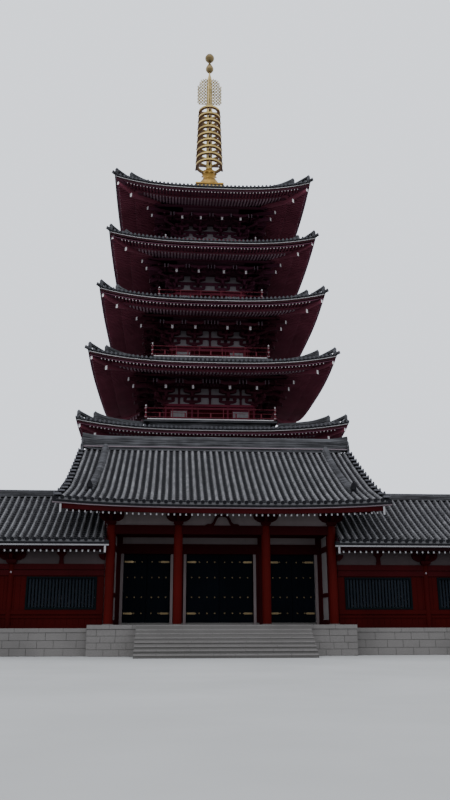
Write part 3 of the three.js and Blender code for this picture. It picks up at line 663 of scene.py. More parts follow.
def hip_tiles(storey):
    """One side of a tower roof: cover and pan tiles cut along the hips, and its eave edge."""
    columns, step = tile_columns(-storey.half, storey.half, TILE_PITCH)
    stations = 14
    x = columns[:, 0]
    reach = np.where(np.abs(x) > storey.neck, np.abs(x), storey.neck)
    share = np.linspace(0, 1, stations) ** 1.15
    distance = storey.half + (reach[None] - storey.half) * share[:, None]
    wide = np.broadcast_to(x, distance.shape)
    fade = np.clip((distance - np.abs(wide)) / 0.12, 0, 1)
    height = storey.surface(wide, distance) + columns[None, :, 1] * fade
    points = np.stack([wide, -distance, height], -1).reshape(-1, 3)
    rise = (storey.crest - storey.eave) / (storey.half - storey.neck)
    slope = (storey.half - distance) * math.hypot(1, rise) / COURSE
    texture = np.stack([np.broadcast_to(columns[:, 2], distance.shape), slope], -1).reshape(-1, 2)
    side = Shape().add(points, grid_faces(stations, len(columns)), texture=texture)
    # front edge of the tile bed, with a hanging lip on each pan
    bed = storey.surface(x, storey.half)
    lip = bed + np.where(columns[:, 1] < 0, -0.045, -0.02)
    rows = ((0.3, lip), (0.01, lip), (0.0, bed + columns[:, 1]))
    edge = [np.stack([x, np.full(len(x), back - storey.half), z], 1) for back, z in rows]
    side.add(np.concatenate(edge), grid_faces(3, len(columns)))
    ends = []
    for row in range(round(2 * storey.half / step)):
        at = -storey.half + (row + 0.5) * step
        ends.append(place(at, -storey.half + 0.065, storey.surface(at, storey.half) + 0.01))
    return side.stamp(tile_end(), ends)


def coursed(half, low, top, layers, recess, crown):
    """Section of thin courses, every other one set back, with a crown's points on top."""
    courses = np.linspace(low, top, 2 * layers + 1)
    right, left = [], []
    for i, levels in enumerate(zip(courses[:-1], courses[1:])):
        out = half - recess * (i % 2)
        right += [(out, z) for z in levels]
        left += [(-out, z) for z in levels]
    return right + crown + left[::-1]


def ridge_section(wide, high, layers):
    """Section of a ridge: thin courses that stand proud in turn, under a round cap."""
    cap = wide * 0.32
    return coursed(wide / 2, -0.1, high - cap, layers, 0.035, arc(0, high - cap, cap, 0, 180, 7))


def ogre_tile(wide, high, horn=0.4):
    """End tile of a ridge, facing the front: a shouldered plate with scrolls, a boss and a horn."""
    half = wide / 2
    outline = [(half, 0), (half * 1.25, high * 0.16), (half * 0.95, high * 0.34), (half * 1.05, high * 0.6),
               (half * 0.62, high * 0.86), (half * 0.2, high)]
    shape = extrude(both_halves(outline), -0.06, 0.06)
    boss = lathe([(half * 0.62, 0), (half * 0.58, 0.05), (half * 0.3, 0.09), (half * 0.06, 0.1)], 12)
    shape.stamp(boss, [place(0, -0.05, high * 0.48, tilt=90)])
    scroll = lathe([(half * 0.3, 0), (half * 0.26, 0.05), (half * 0.05, 0.06)], 10)
    shape.stamp(scroll, [place(x, -0.05, high * 0.2, tilt=90) for x in (-half * 0.72, half * 0.72)])
    rise = np.linspace(0, 1, 6)
    path = np.stack([0 * rise, 0.15 - horn * rise, high * 0.86 + horn * 0.55 * rise ** 2], 1)
    return shape.stamp(sweep(path, arc(0, 0, wide * 0.17, 0, 315, 8)))


def hip_end(wide, high):
    """End of a hip ridge, facing the front: a tapered plate with a boss and a knob on top."""
    half = wide / 2
    outline = [(half * 1.1, 0), (half * 1.15, high * 0.3), (half, high * 0.6), (half, high * 0.88),
               (half * 0.5, high)]
    shape = extrude(both_halves(outline), -0.05, 0.06)
    boss = lathe([(half * 0.6, 0), (half * 0.5, 0.03), (half * 0.1, 0.045)], 10)
    shape.stamp(boss, [place(0, -0.045, high * 0.45, tilt=90)])
    knob = lathe([(0.015, -0.04), (0.045, 0), (0.045, 0.03), (0.012, 0.06)], 8)
    return shape.stamp(knob, [place(0, 0, high)])


def curled(path, length, rise, power):
    """Lifts the last stretch of a ridge line in an upward curl that steepens to its end."""
    path = path.copy()
    left = np.linalg.norm(path - path[-1], axis=1)
    path[:, 2] += rise * np.clip(1 - left / length, 0, 1) ** power
    return path


# Ridges on each hip, from the upper one out to the tip: how far in from the corner it ends, width,
# height, the curl's rise, length and power, height of the end plate, courses, points along it
HIP_RIDGES = [(1.22, 0.36, 0.46, 0.2, 1.1, 1.6, 0.64, 3, 22),
              (0.14, 0.3, 0.14, 0.36, 1.16, 1.2, 0.48, 2, 16),
              (-0.12, 0.28, 0.08, 0.09, 0.5, 2.0, 0, 1, 5)]

# How far in the lowest roof's ridges stay at least, so that they end inside the CAD's box
LOWEST_TIP = 0.2


def hip_ridges(storey):
    """Ridges on one hip: a tall upper one and a low one with end tiles, and the corner's tip."""
    shape = Shape()
    start = (storey.veranda_above or BASIN_HALF) + 0.1
    for inset, wide, high, curl, length, power, plate, layers, steps in HIP_RIDGES:
        end = storey.half - (inset if storey.number > 1 else max(inset, LOWEST_TIP))
        share = 1 - np.linspace(1, 0, steps) ** 1.8
        distance = start + (end - start) * share
        line = np.stack([distance, -distance, storey.surface(distance, distance)], 1)
        path = curled(line, length * math.sqrt(2), curl, power)
        shape.stamp(sweep(path, ridge_section(wide, high, layers), level=True))
        if plate:
            shape.stamp(hip_end(wide * 0.9, plate), [place(*line[-1], turn=45)])
        start = end - 0.1
    return shape


# Eaves of the tower: tips of the two rafter rows, in from the edge and under the light line
FLY_IN = 0.3
FLY_DROPS = [0.2, 0.245, 0.27, 0.295, 0.17]
FLY_RISE = 0.22
BASE_IN = 1.5
BASE_DROPS = [0.2, 0.255, 0.29, 0.245, 0.09]
BASE_RISE = 0.26
# Length of the base rafters whose undersides carry painted light on the front and back; the rafters further
# in get plain soffit paint
LIT_UNDERSIDE_LONG = 1.75
RAFTER_WIDE = 0.09
BASE_WIDE = 0.12
RAFTER_HIGH = 0.11
END_PLATE = 0.006
DOT_SHRINK = 0.011

# Ends of the hip rafters on the corner's diagonal: in from the edge, and middle over the eave line
HIP_FLY_END = (0.28, 0.3)
HIP_BASE_END = (1.25, -0.1)
HIP_FLY_SIZE, HIP_BASE_SIZE = (0.19, 0.24), (0.22, 0.3)
CORNER_TAIL_IN = [3.2, 3.12, 3.0, 2.8, 2.87]
CORNER_TAIL_STEP = (0.34, 0.44)


def square_turn(profile, storey, steps=12):
    """A closed profile of (distance, height) points carried round the tower along the eaves."""
    u = np.linspace(-1, 1, 2 * steps + 1)[:-1]
    profile = np.asarray(profile, float)
    columns = np.array([[(share * d, -d, z) for d, z in profile] for share in u])
    side = columns.reshape(-1, 3)
    side[:, 2] += storey.lift(side[:, 0], -side[:, 1])
    turns = np.array(QUARTERS)[:, :, :3]
    points = np.einsum("nij,mj->nmi", turns, side).reshape(-1, 3)
    rows = 4 * len(u)
    return Shape().add(points, grid_faces(rows, len(profile), True, True)[:, ::-1])


def eave_board(storey, outer, inner, low, high):
    """A board along all four eaves; distances are in from the edge, heights from the light line."""
    out, back = storey.half - outer, storey.half - inner
    profile = [(out, storey.eave + low), (out, storey.eave + high),
               (back, storey.eave + high), (back, storey.eave + low)]
    return square_turn(profile, storey)


def sloped_boards(storey, start, end, low, rise, thick=0.04):
    """Boarding over a row of rafters, from start to end in from the edge."""
    a, b = storey.half - start, storey.half - end
    z0 = storey.eave + low
    z1 = z0 + rise * (end - start)
    return square_turn([(a, z0), (a, z0 + thick), (b, z1 + thick), (b, z1)], storey)


def rafter_row(storey, tip_in, drop, rise, inner_in, skip, wide=RAFTER_WIDE):
    """One side's row of rafters and their end plates: (bars, plates)."""
    bars, plates = Shape(), Shape()
    tip = storey.half - tip_in
    count = int((tip - skip) / RAFTER_PITCH)
    for i in range(-count, count):
        x = (i + 0.5) * RAFTER_PITCH
        back = max(storey.half - inner_in, abs(x) + 0.1)
        z = storey.eave - drop
        far = z + rise * (tip - back)
        half, high = wide / 2, RAFTER_HIGH / 2
        section = [(-tip, z - high), (-back, far - high), (-back, far + high), (-tip, z + high)]
        bars.stamp(extrude(section, x - half, x + half, "x"))
        plates.stamp(box(x - half + DOT_SHRINK, x + half - DOT_SHRINK, -tip - END_PLATE, -tip,
                         z - high + DOT_SHRINK, z + high - DOT_SHRINK))
    return bars.bent(storey.swept), plates.bent(storey.swept)


def corner_bar(start, end, wide, high, curl=0.0):
    """A hip rafter on the front right corner between two (distance, height) points."""
    steps = np.linspace(0, 1, 7)[:, None]
    a, b = np.array((start[0], -start[0], start[1])), np.array((end[0], -end[0], end[1]))
    path = a + (b - a) * steps
    path[:, 2] += curl * steps[:, 0] ** 2.5
    half = wide / 2
    return sweep(path, [(-half, -high), (half, -high), (half, 0), (-half, 0)], level=True)


def corner_plate(distance, z, wide, high):
    """White end plate of a hip rafter, square to the corner."""
    half = wide / 2
    plate = box(-half, half, -END_PLATE, 0.002, -high, 0)
    return Shape().stamp(plate, [place(distance, -distance, z, turn=45)])


def tower_eaves(storey):
    """Boards, rafters and hip rafters under one tower roof."""
    name = storey.name
    line = eave_board(storey, 0.1, 0.3, 0.03, 0.08)
    bed = eave_board(storey, 0.03, 0.4, 0.08, 0.2)
    fascia = eave_board(storey, 0.125, 0.22, -0.13, 0.03)
    fly_drop, base_drop = FLY_DROPS[storey.index], BASE_DROPS[storey.index]
    fly_top = -fly_drop + RAFTER_HIGH / 2
    base_top = -base_drop + RAFTER_HIGH / 2
    inner = storey.half - storey.purlin + 0.3
    fly_boards = sloped_boards(storey, 0.14, BASE_IN + 0.35, fly_top + FLY_RISE * (0.14 - FLY_IN), FLY_RISE)
    base_boards = sloped_boards(storey, BASE_IN + 0.05, inner, base_top + BASE_RISE * 0.05, BASE_RISE)
    batten = eave_board(storey, BASE_IN + 0.06, BASE_IN + 0.24, base_top,
                        fly_top + FLY_RISE * (BASE_IN - FLY_IN))
    fly, fly_ends = rafter_row(storey, FLY_IN, fly_drop, FLY_RISE, BASE_IN + 0.4, 0.55)
    base, base_ends = rafter_row(storey, BASE_IN, base_drop, BASE_RISE, BASE_IN + LIT_UNDERSIDE_LONG, 0.55, BASE_WIDE)
    far_drop = base_drop - BASE_RISE * LIT_UNDERSIDE_LONG
    far, _ = rafter_row(storey, BASE_IN + LIT_UNDERSIDE_LONG, far_drop, BASE_RISE, inner, 0.55, BASE_WIDE)
    tip, low = storey.half - HIP_FLY_END[0], storey.half - HIP_BASE_END[0]
    z_tip = storey.eave + HIP_FLY_END[1] + HIP_FLY_SIZE[1] / 2
    z_low = storey.eave + HIP_BASE_END[1] + HIP_BASE_SIZE[1] / 2
    foot = storey.purlin - 0.3
    z_foot = storey.eave + BASE_RISE * (low - foot) + 0.1
    hip_fly = corner_bar((low - 0.5, z_low + 0.16), (tip, z_tip), *HIP_FLY_SIZE)
    hip_base = corner_bar((foot, z_foot), (low, z_low), *HIP_BASE_SIZE)
    hips = Shape().stamp(hip_fly).stamp(hip_base)
    ends = Shape().stamp(corner_plate(tip, z_tip, *HIP_FLY_SIZE))
    ends.stamp(corner_plate(low, z_low, *HIP_BASE_SIZE))
    boards = fly_boards.stamp(base_boards)
    rails = four_sides(hips).stamp(batten)
    # The tile bed under the eave edge is near-black: painted shade under the tiles
    pieces(name, ("tile_bed", bed, "dark_tile"),
           ("eave_line", line, "white"),
           ("fascia", fascia, "fascia"),
           ("soffit_boards", boards, "shaded"),
           ("flying_rafters", four_sides(fly), "soffit"),
           # Base rafters on the front and back carry painted light on their undersides; those on the left
           # and right get the darker soffit paint, as painted shade
           ("base_rafters", Shape().stamp(base, QUARTERS[::2]), "rafter"),
           ("side_rafters", Shape().stamp(base, QUARTERS[1::2]), "soffit"),
           ("inner_rafters", four_sides(far), "soffit"),
           ("hip_rafters", rails, "soffit"),
           # Flying rafter ends get bright white and base rafter ends a dimmer grey white: painted shade
           # further under the eave
           ("flying_rafter_ends", four_sides(ends.stamp(fly_ends)), "bright"),
           ("base_rafter_ends", four_sides(base_ends), "faded"))


def build_tower_roofs():
    for storey in TOWER:
        name = storey.name
        piece(f"{name}_tiles", four_sides(hip_tiles(storey)), "tile", replaces=[f"{name}_roof"])
        piece(f"{name}_hip_ridges", four_sides(hip_ridges(storey)), "ridge")
        tower_eaves(storey)


# Brackets of the tower
ARM_HALVES = [0.67, 0.69, 0.66, 0.63, 0.62]
ARM_THICK = 0.15
LATTICE_DROP = [0.36, 0.345, 0.47, 0.525, 0.55]
TAIL_IN = 3.0
TAIL_RISE = 0.4
TAIL_HIGH = 0.27
TAIL_WIDE = 0.16
STRUT_HALF = 0.085

# Which bays have a strut between the brackets: the left one, the middle one and the right one
STRUT_BAYS = [(-1, 0, 1), (-1, 0, 1), (0,), (), ()]

# Ceiling ribs in the middle bay and in each side bay; two more lie past each outer post line
RIB_COUNTS = [(6, 3), (6, 3), (5, 2), (3, 2), (2, 1)]
RIB_PAST = 0.8


def bearing_block(wide, low, high):
    """A bearing block: cut in below, square above, centred on the Z axis."""
    half, waist = wide / 2, low + (high - low) * 0.4
    shape = square_box(half * 0.72, low, waist, -half * 0.28)
    return shape.stamp(square_box(half, waist, high))


def bow_outline(reach, low, high):
    """Outline of a bracket arm as (along, up): flat under the middle, curved up at both ends."""
    curve = [(reach * (0.26 + 0.74 * math.sin(a)), low + (high - low) * 0.8 * (1 - math.cos(a)))
             for a in np.linspace(0, math.pi / 2, 7)]
    return both_halves([*curve, (reach, high)])


def bow_arm(reach, low, high, distance):
    """An arm parallel to the wall at a distance from the tower's axis."""
    return extrude(bow_outline(reach, low, high), -distance - ARM_THICK / 2, -distance + ARM_THICK / 2)


def thrust_arm(start, tip, low, high):
    """An arm that reaches out from the wall, its end curved up below."""
    reach = tip - start
    curve = [(-start - reach * (0.7 + 0.3 * math.sin(a)), low + (high - low) * 0.7 * (1 - math.cos(a)))
             for a in np.linspace(0, math.pi / 2, 5)]
    outline = [(-start, low), (-start, high), (-tip, high), *reversed(curve)]
    return extrude(outline, -ARM_THICK / 2, ARM_THICK / 2, "x")


def bracket_set(storey):
    """Everything on one post line: wall arms, two steps out, the tail rafter and purlin arm."""
    b0, b1, b2, b3 = storey.plaster_rows
    wall, step = storey.body - 0.02, (storey.purlin - storey.body) / 3
    tail_at = storey.half - TAIL_IN
    arm = ARM_HALVES[storey.index]
    shape = Shape()

    def tier(distance, low, arm_high, top, reach):
        """A cross arm with three blocks on it."""
        shape.stamp(bow_arm(reach, low, low + arm_high, distance))
        blocks = bearing_block(0.28, low + arm_high, top)
        spots = (-reach + 0.14, 0, reach - 0.14)
        shape.stamp(blocks, [place(x, -distance) for x in spots])

    shape.stamp(bearing_block(0.44, b0 - 0.02, b0 + 0.17), [place(0, -wall)])
    tier(wall, b0 + 0.1, 0.22, b1, arm)
    shape.stamp(bearing_block(0.4, b2 - 0.01, b2 + 0.17), [place(0, -wall)])
    tier(wall, b2 + 0.1, 0.22, b3 + 0.02, arm)
    shape.stamp(box(-arm + 0.04, arm - 0.04, -wall - 0.02, -wall + 0.05, b2 + 0.3, b3 + 0.02))
    shape.stamp(thrust_arm(wall - 0.1, wall + step + 0.14, b1 - 0.17, b1 + 0.02))
    shape.stamp(bearing_block(0.24, b1 + 0.02, b2), [place(0, -wall - step)])
    tier(wall + step, b2 - 0.02, 0.17, b2 + 0.3, arm * 0.92)
    shape.stamp(thrust_arm(wall - 0.1, wall + 2 * step + 0.14, b2 + 0.1, b2 + 0.26))
    shape.stamp(bearing_block(0.24, b2 + 0.2, b2 + 0.3), [place(0, -wall - 2 * step)])
    tier(wall + 2 * step, b2 + 0.28, 0.14, b3 + 0.02, arm)
    tail = storey.tail_end
    top = tail + TAIL_HIGH / 2
    inner = tail_at - wall + 0.1
    section = [(-tail_at, tail - TAIL_HIGH / 2), (-wall + 0.1, tail - TAIL_HIGH / 2 + TAIL_RISE * inner),
               (-wall + 0.1, top - 0.04 + TAIL_RISE * inner), (-tail_at, top)]
    shape.stamp(extrude(section, -TAIL_WIDE / 2, TAIL_WIDE / 2, "x"))
    shape.stamp(bearing_block(0.26, top + 0.02, top + 0.2), [place(0, -storey.purlin)])
    purlin_low = storey.eave - LATTICE_DROP[storey.index] + 0.08
    tier(storey.purlin, top + 0.18, 0.2, purlin_low, arm * 1.1)
    return shape


def corner_set(storey):
    """Diagonal arms and the two stacked tail rafters of the front right corner: (dark, ends)."""
    _, b1, b2, _ = storey.plaster_rows
    shape, ends = Shape(), Shape()
    wall, step = storey.body - 0.1, (storey.purlin - storey.body) / 3
    root2 = math.sqrt(2)
    for reach, low, high in ((1, b1 - 0.17, b1 + 0.02), (2, b2 + 0.1, b2 + 0.26)):
        arm = thrust_arm((wall - 0.2) * root2, (wall + reach * step + 0.1) * root2, low, high)
        shape.stamp(arm, [place(turn=45)])
        at = wall + reach * step
        shape.stamp(bearing_block(0.3, high, high + 0.16), [place(at, -at, turn=45)])
    for tier in (0, 1):
        tip = storey.half - CORNER_TAIL_IN[storey.index] + CORNER_TAIL_STEP[0] * tier
        z = storey.tail_end + CORNER_TAIL_STEP[1] * tier
        back = wall - 0.2
        high = z + TAIL_HIGH / 2
        far = high + TAIL_RISE * (tip - back)
        shape.stamp(corner_bar((back, far), (tip, high), TAIL_WIDE, TAIL_HIGH))
        ends.stamp(corner_plate(tip, high, TAIL_WIDE, TAIL_HIGH))
    return shape, ends


def ring_beam(outer, inner, low, high, overrun=0.0):
    """Four beams round the tower; each may run past the corner."""
    reach = outer + overrun
    beam = box(-reach, reach, -outer, -inner, low, high)
    return four_sides(beam)


def tower_brackets(storey):
    """Brackets, plaster rows, ceiling, purlins and lattice ends of one storey."""
    name = storey.name
    b0, b1, b2, b3 = storey.plaster_rows
    inner_line = storey.centre_bay / 2
    lines = [-inner_line - storey.side_bay, -inner_line, inner_line, inner_line + storey.side_bay]
    side = Shape().stamp(bracket_set(storey), [place(x) for x in lines])
    corner, ends = corner_set(storey)
    side.stamp(corner)
    wall, step = storey.body, (storey.purlin - storey.body) / 3
    struts = Shape()
    for x in STRUT_BAYS[storey.index]:
        x *= (lines[2] + lines[3]) / 2
        for low, high in ((b0, b1), (b2, b3)):
            struts.stamp(bar(x, STRUT_HALF, -wall - 0.04, -wall + 0.1, low, high))
            struts.stamp(bearing_block(0.24, high - 0.1, high), [place(x, -wall)])
    side.stamp(struts)
    beams = ring_beam(wall + 0.06, wall - 0.2, b1, b2)
    beams.stamp(ring_beam(wall + 0.06, wall - 0.2, b3, b3 + 0.2))
    out = wall + 2 * step
    beams.stamp(ring_beam(out + 0.07, out - 0.07, b3, b3 + 0.16, 0.5))
    lattice = storey.eave - LATTICE_DROP[storey.index]
    rafter_foot = storey.eave - BASE_DROPS[storey.index] - RAFTER_HIGH / 2
    rafter_foot += BASE_RISE * (storey.half - BASE_IN - storey.purlin)
    purlin = storey.purlin
    rim = ring_beam(purlin + 0.1, purlin - 0.1, rafter_foot - 0.14, rafter_foot, 0.1)
    ceiling = Shape()
    for low, high, far, near in ((b3 + 0.16, b3 + 0.2, out, wall - 0.2),
                                 (rafter_foot, rafter_foot + 0.04, purlin, wall - 0.2)):
        ceiling.stamp(ring_beam(far, near, low, high))
    side = four_sides(side).stamp(rim)
    dark = "high_bracket" if storey.number > 3 else "bracket"
    pieces(name, ("bracket_sets", side, dark, f"{name}_brackets"),
           ("bracket_beams", beams, dark),
           ("eave_ceiling", ceiling, "shaded"))
    band = ring_beam(wall - 0.03, wall - 0.3, storey.wall_top, b3 + 0.02)
    # The plaster rows take the darker row plaster: painted shade under the eaves
    piece(f"{name}_plaster_rows", band, "row_plaster")
    plates = Shape()
    tail, at = storey.tail_end, storey.half - TAIL_IN
    for x in lines:
        plates.stamp(bar(x, TAIL_WIDE / 2, -at - END_PLATE, -at, tail - TAIL_HIGH / 2, tail + TAIL_HIGH / 2))
    plates.stamp(ends)
    bars, ribs = Shape(), Shape()
    centre_ribs, side_ribs = RIB_COUNTS[storey.index]
    side_middle, past = (lines[2] + lines[3]) / 2, lines[3] + RIB_PAST
    groups = [(0, centre_ribs), (-side_middle, side_ribs), (side_middle, side_ribs), (-past, 2), (past, 2)]
    tip = purlin + 0.14
    for middle, count in groups:
        for i in range(count):
            x = middle + (i - (count - 1) / 2) * RAFTER_PITCH
            bars.stamp(bar(x, 0.04, -tip, -out, lattice - 0.17, lattice + 0.17))
            ribs.stamp(bar(x, 0.036, -tip - END_PLATE, -tip, lattice - 0.16, lattice + 0.16))
    pieces(name, ("lattice_bars", four_sides(bars), dark),
           # The lattice ends and bracket ends take dim and grey whites: painted shade under the eave
           ("lattice_ends", four_sides(ribs), "rib"),
           ("bracket_ends", four_sides(plates), "plate"))


# Walls of the tower
POST_RADIUS = 0.16
PLATE_HIGH = 0.19
PANEL_RAIL, LOCK_RAIL_SHARE = 0.09, 0.36
TOWER_BAR_PITCH, TOWER_BAR_WIDE = 0.1, 0.07

# Heights of sills, door heads and window heads as shares of the wall, and half a window's width
# as a share of its bay
SILL_SHARE, DOOR_SHARE = 0.36, 0.84
WINDOW_HEADS = [0.84, 0.74, 0.72, 0.74, 0.74]
WINDOW_SHARE = 0.3


def window_bars(x0, x1, low, high, face, pitch, wide):
    """Upright bars in a window of the front wall."""
    bars = Shape()
    count = max(2, round((x1 - x0) / pitch))
    gap = (x1 - x0) / count
    for i in range(count):
        x = x0 + (i + 0.5) * gap
        bars.stamp(bar(x, wide / 2, face, face + 0.07, low, high))
    return bars


def frame_round(x0, x1, low, high, front, back, wide):
    """Four members round an opening of the front wall."""
    return boxes((x0 - wide, x0, front, back, low - wide, high + wide),
                 (x1, x1 + wide, front, back, low - wide, high + wide),
                 (x0, x1, front, back, low - wide, low),
                 (x0, x1, front, back, high, high + wide))


def panel_door(half, low, high, face):
    """A closed pair of panelled doors in a recess of the front wall."""
    shape = Shape()
    for sign in (-1, 1):
        x0, x1 = side_span(sign, 0.015, half)
        shape.stamp(box(x0, x1, face, face + 0.05, low, high))
        for z in (low, low + (high - low) * LOCK_RAIL_SHARE, high - PANEL_RAIL):
            shape.stamp(box(x0, x1, face - 0.04, face, z, z + PANEL_RAIL))
        for x in (x0, x1 - PANEL_RAIL):
            shape.stamp(box(x, x + PANEL_RAIL, face - 0.04, face, low + PANEL_RAIL, high - PANEL_RAIL))
    return shape


def tower_walls(storey):
    """Posts, tie beams, windows and doors of one storey."""
    name = storey.name
    repaint(f"{name}_walls", "dark_red")
    low, top = storey.floor, storey.wall_top
    high = top - low
    inner = storey.centre_bay / 2
    corner = inner + storey.side_bay
    post = lathe([(POST_RADIUS, low), (POST_RADIUS, top)], 16)
    posts = Shape().stamp(post, [place(x, -corner) for x in (-corner, -inner, inner)])
    wall = storey.body
    tie = high * 0.08 + 0.12
    ring = ring_beam(wall + 0.03, wall - 0.12, top - tie, top - 0.06)
    plate_top = min(top + PLATE_HIGH, storey.plaster_rows[0])
    ring.stamp(ring_beam(wall + 0.1, wall - 0.2, top, plate_top))
    ring.stamp(ring_beam(wall + 0.04, wall - 0.12, low + 0.02, low + 0.2))
    sill, head = low + high * SILL_SHARE, low + high * WINDOW_HEADS[storey.index]
    ring.stamp(ring_beam(wall + 0.03, wall - 0.12, sill - 0.2, sill - 0.06))
    half = storey.side_bay * WINDOW_SHARE
    middle = inner + storey.side_bay / 2
    frames, bars = Shape(), Shape()
    for x in (-middle, middle):
        frames.stamp(frame_round(x - half, x + half, sill, head, -wall, -wall + 0.2, 0.07))
        bars.stamp(window_bars(x - half, x + half, sill, head, -wall + 0.03, TOWER_BAR_PITCH,
                               TOWER_BAR_WIDE))
    door = panel_door(inner - 0.15, low + 0.2, low + high * DOOR_SHARE, -wall + 0.13)
    pieces(name, ("posts", four_sides(posts), "maroon"),
           ("tie_beams", ring, "maroon"),
           ("window_frames", four_sides(frames), "maroon"),
           ("doors", four_sides(door), "crimson"),
           ("window_bars", four_sides(bars), "pale"))


# Verandas
RAIL_INSET = 0.16
RAIL_LEVELS = [(0.16, 0.05), (0.5, 0.042), (0.84, 0.062)]
RAIL_SCALE = [1, 1, 1, 1, 0.86]
RAIL_OVERRUN = 0.14
RAIL_POST_HALF, BALUSTER_HALF = 0.028, 0.05
CORNER_POST_RADIUS, CORNER_POST_HIGH = 0.06, 0.94
POST_SHARES = (-0.57, -0.19, 0.19, 0.57)
BALUSTER_SHARES = (-0.76, -0.38, 0.0, 0.38, 0.76)


def rail_run(line, z, thick, overrun):
    """A rail along the front, its ends curling up past the corner posts."""
    reach = line + overrun
    steps = np.linspace(-1, 1, 21)
    path = np.array([(s * reach, -line, z + 0.12 * max(0, abs(s) * reach - line + 0.2) ** 2) for s in steps])
    return sweep(path, arc(0, 0, thick / 2, 0, 315, 8), level=True)


def tower_veranda(storey):
    """Floor, skirt, railing and its pale end caps on one storey."""
    name = storey.name
    half, floor = storey.veranda, storey.floor
    line = half - RAIL_INSET
    below = TOWER[storey.number - 2]
    tall = RAIL_SCALE[storey.index]
    slab = square_box(half - 0.02, floor - SLAB, floor - 0.06)
    skirt = ring_beam(half - 0.4, half - 0.5, below.crest - 0.5, floor - SLAB)
    edge = ring_beam(half + 0.03, half - 0.28, floor - 0.065, floor)
    boards = square_box(half - 0.2, floor - 0.06, floor - 0.004)
    rails = Shape()
    for z, thick in RAIL_LEVELS:
        rails.stamp(rail_run(line, floor + z * tall, thick, RAIL_OVERRUN))
    for share in POST_SHARES:
        x = share * half
        rails.stamp(bar(x, RAIL_POST_HALF, -line - RAIL_POST_HALF, -line + RAIL_POST_HALF, floor,
                        floor + 0.82 * tall))
    for share in BALUSTER_SHARES:
        x = share * half
        rails.stamp(bar(x, BALUSTER_HALF, -line - 0.02, -line + 0.02, floor + 0.16, floor + 0.5))
    post = lathe([(CORNER_POST_RADIUS, 0), (CORNER_POST_RADIUS, CORNER_POST_HIGH)], 12)
    rails.stamp(post, [place(-line, -line, floor)])
    knob = lathe([(0.055, 0), (0.055, 0.04), (0.035, 0.06), (0.065, 0.1), (0.05, 0.15), (0.015, 0.2)], 12)
    cuff = lathe([(0.068, -0.03), (0.068, 0.03)], 12)
    caps = Shape().stamp(knob, [place(-line, -line, floor + 0.92)])
    caps.stamp(cuff, [place(-line, -line, floor + z) for z, thick in RAIL_LEVELS])
    pieces(name, ("veranda_slab", slab, "ridge", f"{name}_veranda"),
           ("veranda_skirt", skirt, "ridge"),
           ("veranda_edge", edge, "white"),
           ("veranda_boards", boards, "dark_red"),
           ("railing", four_sides(rails), "rose"),
           ("railing_caps", four_sides(caps), "white"))


def build_tower():
    for storey in TOWER:
        tower_brackets(storey)
        tower_walls(storey)
        if storey.number > 1:
            tower_veranda(storey)


build_tower_roofs()
build_tower()


# Finial: heights and radii of its forms, close to the frame's
BASE_FOOT, BASE_TOP, BASE_HALF = 37.9, 38.82, 1.14
BOWL_TOP, LOTUS_TOP = 39.72, 40.85
RING_FIRST, RING_PITCH, RING_COUNT = 41.17, 0.71, 9
RING_WIDE, RING_NARROW, RING_HIGH, RING_RADIAL = 1.22, 1.0, 0.19, 0.27
HUB_RADIUS, SPOKE_WIDE, SPOKE_HIGH = 0.22, 0.1, 0.12
FLAME_LOW, FLAME_HIGH, FLAME_INNER, FLAME_OUTER = 47.72, 50.5, 0.28, 1.0
JEWEL, BALL, TIP = 51.31, 52.49, 53.32
FLAME_STEMS, FLAME_STEM_RADIUS, FLAME_WAVE = 6, 0.042, 0.34
LOZENGES = 7
PETALS_IN_ROW = 8
BELLS = 4


def curve_through(points, steps):
    """Points on a smooth curve through a few (radius, height) points."""
    points = np.asarray(points, float)
    ends = np.vstack([2 * points[0] - points[1], points, 2 * points[-1] - points[-2]])
    smooth = []
    for i in range(1, len(ends) - 2):
        a, b, c, d = ends[i - 1:i + 3]
        for t in np.arange(steps) / steps:
            smooth.append(0.5 * (2 * b + (c - a) * t + (2 * a - 5 * b + 4 * c - d) * t ** 2
                                 + (3 * b - a - 3 * c + d) * t ** 3))
    return np.array(smooth + [points[-1]])


def lotus_petal(reach, high, foot):
    """An upright petal, folded along its middle, with its foot at a height over the bowl."""
    start = 0.42 - 0.1 * foot
    along = np.linspace(0, 1, 7)
    wide = 0.2 * np.sin(np.pi * (0.15 + 0.8 * along)) + 0.02
    out = start + reach * along ** 1.6
    up = foot + high * np.sin(along * math.pi * 0.55)
    left = np.stack([out, -wide, up], 1)
    right = np.stack([out, wide, up], 1)
    fold = np.stack([out + 0.05, 0 * wide, up - 0.03], 1)
    thick = np.array([-0.03, 0, 0.03])
    sheet = np.concatenate([left, fold, right, left + thick, fold + thick, right + thick])
    n = len(along)
    near = np.arange(n - 1)
    lap = []
    for a, b in ((0, 1), (1, 2), (4, 3), (5, 4), (3, 0), (2, 5)):
        lap.append(np.stack([near + a * n, near + 1 + a * n, near + 1 + b * n, near + b * n], 1))
    ends = [(0, 3 * n, 4 * n, n), (n, 4 * n, 5 * n, 2 * n)]
    tips = [(n - 1, 2 * n - 1, 5 * n - 1, 4 * n - 1), (2 * n - 1, 3 * n - 1, 6 * n - 1, 5 * n - 1)]
    return Shape().add(sheet, np.concatenate(lap)[:, ::-1], ends, tips)


